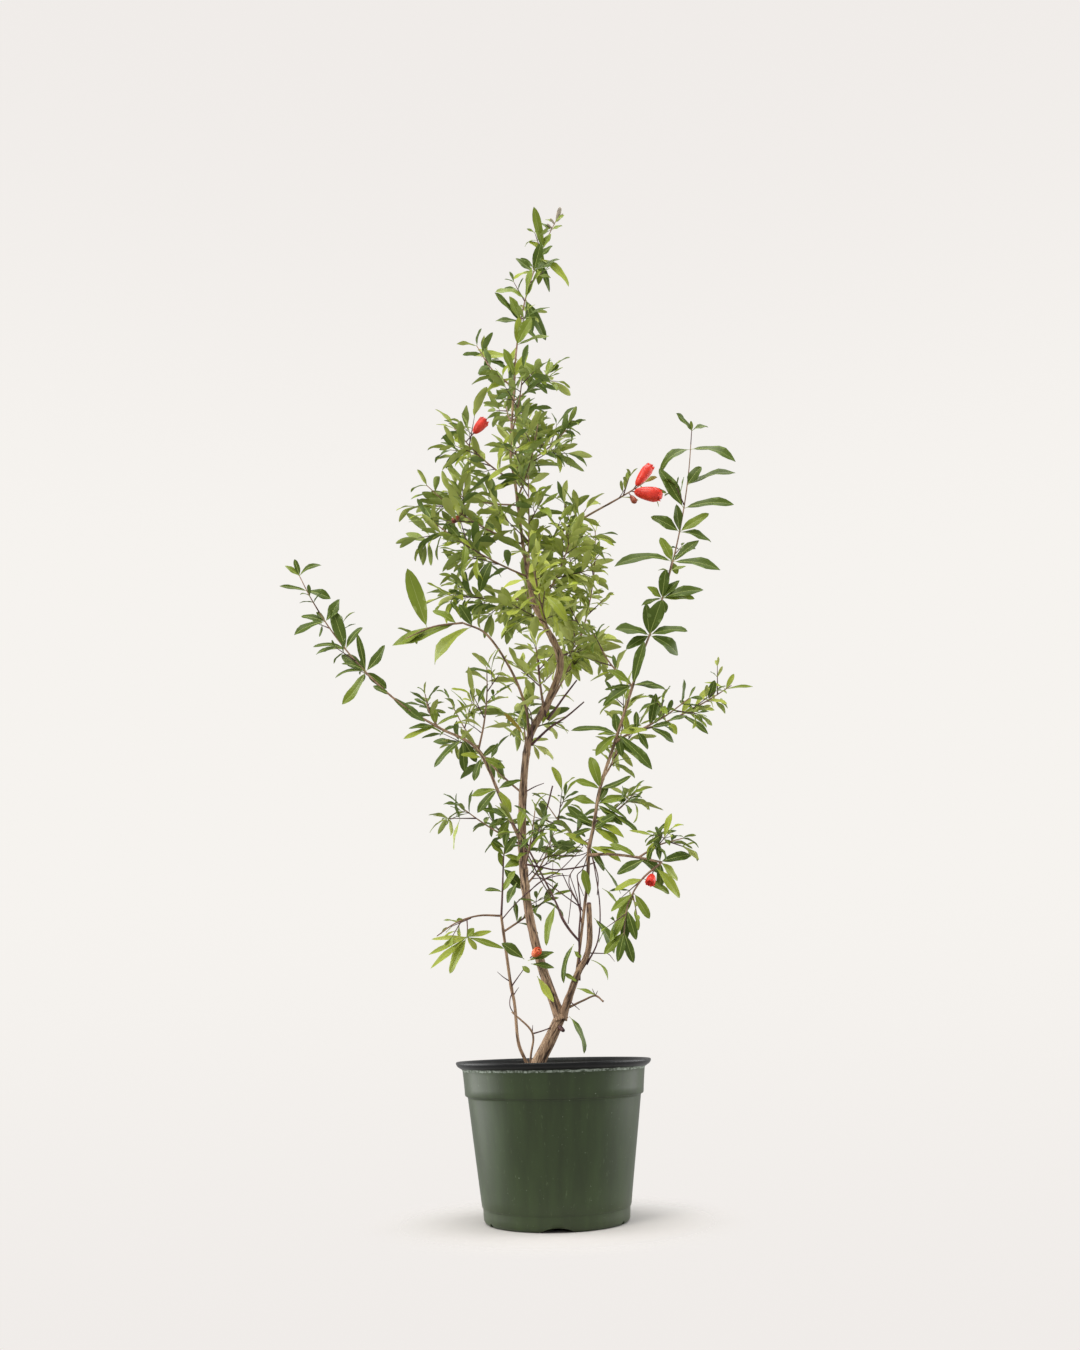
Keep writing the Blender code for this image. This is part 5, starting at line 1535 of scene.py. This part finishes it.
def scatter_crumbs(outer):
    """Bark chips and perlite crumbs, strewn evenly over the soil."""
    rng = random.Random("crumbs")
    chips, crumbs = Heap(), Heap()
    for i in range(CHIP_COUNT + PERLITE_COUNT):
        white = i >= CHIP_COUNT
        reach = outer * math.sqrt(rng.random())
        angle = rng.uniform(0, 2 * math.pi)
        x, y = reach * math.cos(angle), reach * math.sin(angle)
        size = rng.uniform(*(PERLITE_SIZES if white else CHIP_SIZES))
        flat = PERLITE_SHAPE if white else (1, rng.uniform(*CHIP_BREADTHS), rng.uniform(*CHIP_THICKNESSES))
        centre = Vector((x, y, soil_height(x, y) + size * flat[2] * CRUMB_SHOWN))
        (crumbs if white else chips).add(*crumb(rng, centre, size, flat))
    chips.piece("bark_chips", chip_bark(), "soil")
    crumbs.piece("perlite_crumbs", perlite(), "soil")


def crumb(rng, centre, size, flat):
    """A rough lump: a small ball of few faces, pressed flat and turned at random."""
    turn = Matrix.Rotation(rng.uniform(0, CRUMB_TURN), 3, "Z")
    turn = turn @ Matrix.Rotation(rng.uniform(-CRUMB_TILT, CRUMB_TILT), 3, "X")
    vertices = []
    for i in range(CRUMB_ROWS + 1):
        pitch = math.pi * (i / CRUMB_ROWS - 0.5) * CRUMB_ENDS
        for across, deep in round_turns(CRUMB_SIDES):
            ball = Vector((math.cos(pitch) * across, math.cos(pitch) * deep, math.sin(pitch)))
            ball *= size * rng.uniform(*CRUMB_ROUGHNESS)
            vertices.append(centre + turn @ Vector([c * f for c, f in zip(ball, flat)]))
    return vertices, tube_faces(CRUMB_ROWS + 1, CRUMB_SIDES)


def place_camera():
    """The camera at the photograph's angle."""
    data = bpy.data.cameras.new("camera")
    data.sensor_width = SENSOR
    data.lens = SENSOR * FOCAL_PIXELS / LONG_SIDE_PIXELS
    camera = bpy.data.objects.new("camera", data)
    bpy.context.scene.collection.objects.link(camera)
    rise = Matrix.Rotation(math.radians(90 + CAMERA_RISE), 4, "X")
    roll = Matrix.Rotation(math.radians(-CAMERA_ROLL), 4, "Z")
    camera.matrix_world = Matrix.Translation(CAMERA_PLACE) @ (rise @ roll)
    bpy.context.scene.camera = camera


# Studio: the backdrop is darker above and below its middle, which is painted shade. The sky light is dimmer
# than the backdrop.
# The floor fades between two distances in metres.
BACKDROP_MIDDLE = "#F6F3EF"
BACKDROP_SHADED_EDGE = "#F0ECE9"
MIDDLE_RISE = 0.24
EDGE_FADE = (0.1, 0.5)
SKY_COLOUR = "#FAF9F7"
SKY_LIGHT = 0.56
FLOOR_RADIUS = 0.7
FLOOR_SIDES = 96
FLOOR_FADE = (0.1, 0.26)

# Softboxes: name, place in metres, side, power and colour. All of them face the middle of the plant.
LIGHT_TARGET = (0, 0, 0.75)
SOFTBOXES = (
    ("top_light", (0.1, -0.5, 3.4), 2.4, 68, "#FFFDF8"),
    ("key_light", (-1.9, -2.6, 2.7), 1.4, 58, "#FFF9F0"),
    ("left_light", (-2.1, 0.4, 0.8), 2.2, 52, "#FFFFFF"),
    ("right_light", (2.2, 0.4, 0.9), 2.2, 46, "#FFFFFF"),
)


def faded(tree, value, fade):
    """A share that goes smoothly from 0 to 1 while the value crosses the fade."""
    smooth = {"interpolation_type": "SMOOTHSTEP"}
    return add_node(tree, "MapRange", smooth, Value=value, From_Min=fade[0], From_Max=fade[1])


def build_backdrop():
    """A pale backdrop that the camera sees, with painted shade that darkens it above and below its middle,
    and the sky light that the plant gets.
    """
    world = bpy.data.worlds.new("studio")
    bpy.context.scene.world = world
    world.use_nodes = True
    tree = world.node_tree
    towards = add_node(tree, "TexCoord", out="Generated")
    rise = add_node(tree, "SeparateXYZ", out="Z", Vector=towards)
    apart = add_node(tree, "Math", {"operation": "SUBTRACT"}, i0=rise, i1=MIDDLE_RISE)
    away = add_node(tree, "Math", {"operation": "ABSOLUTE"}, i0=apart)
    # Painted shade: the backdrop goes from its middle colour to its darker edge colour above and below its
    # middle.
    middle, edge = linear(BACKDROP_MIDDLE), linear(BACKDROP_SHADED_EDGE)
    seen = add_node(tree, "Mix", {"data_type": "RGBA"}, i0=faded(tree, away, EDGE_FADE), i6=middle, i7=edge)
    backdrop = add_node(tree, "Background", Color=seen, Strength=1.0)
    sky = tree.nodes["Background"]
    wire(tree, sky, Color=linear(SKY_COLOUR), Strength=SKY_LIGHT)
    ray = add_node(tree, "LightPath", out="Is Camera Ray")
    mixed = add_node(tree, "MixShader", i0=ray, i1=sky.outputs[0], i2=backdrop)
    wire(tree, tree.nodes["World Output"], Surface=mixed)


def paper_floor():
    """Matt paper, which turns clear away from the pot, so that the floor has no horizon."""
    made, tree, shader, place = new_material("matt_paper_floor", "#CECBC9", 0.9, 1.45)
    reach = add_node(tree, "VectorMath", {"operation": "LENGTH"}, "Value", i0=place)
    through = add_node(tree, "BsdfTransparent")
    mixed = add_node(tree, "MixShader", i0=faded(tree, reach, FLOOR_FADE), i1=shader.outputs[0], i2=through)
    wire(tree, tree.nodes["Material Output"], Surface=mixed)
    return made


def build_studio():
    """A pale floor that fades into a pale backdrop with painted shade above and below its middle, and soft
    light from above and both sides.
    """
    scene = bpy.context.scene
    scene.view_settings.view_transform = "Standard"
    build_backdrop()
    mesh = bpy.data.meshes.new("floor")
    edge = [(FLOOR_RADIUS * across, FLOOR_RADIUS * deep, 0) for across, deep in round_turns(FLOOR_SIDES)]
    mesh.from_pydata(edge, [], [tuple(range(FLOOR_SIDES))])
    mesh.materials.append(paper_floor())
    floor = bpy.data.objects.new("floor", mesh)
    scene.collection.objects.link(floor)
    for name, place, size, power, colour in SOFTBOXES:
        data = bpy.data.lights.new(name, "AREA")
        data.size = size
        data.energy = power
        data.color = linear(colour)[:3]
        light = bpy.data.objects.new(name, data)
        scene.collection.objects.link(light)
        light.location = place
        light.rotation_euler = (Vector(LIGHT_TARGET) - Vector(place)).to_track_quat("-Z", "Y").to_euler()


def build():
    """The studio, the camera and the plant in its pot."""
    place_camera()
    build_studio()
    limbs = {limb.name: limb for limb in LIMBS}
    build_pot()
    build_soil()
    build_limbs(limbs)
    build_foliage(limbs)
    build_blossom(limbs)


build()
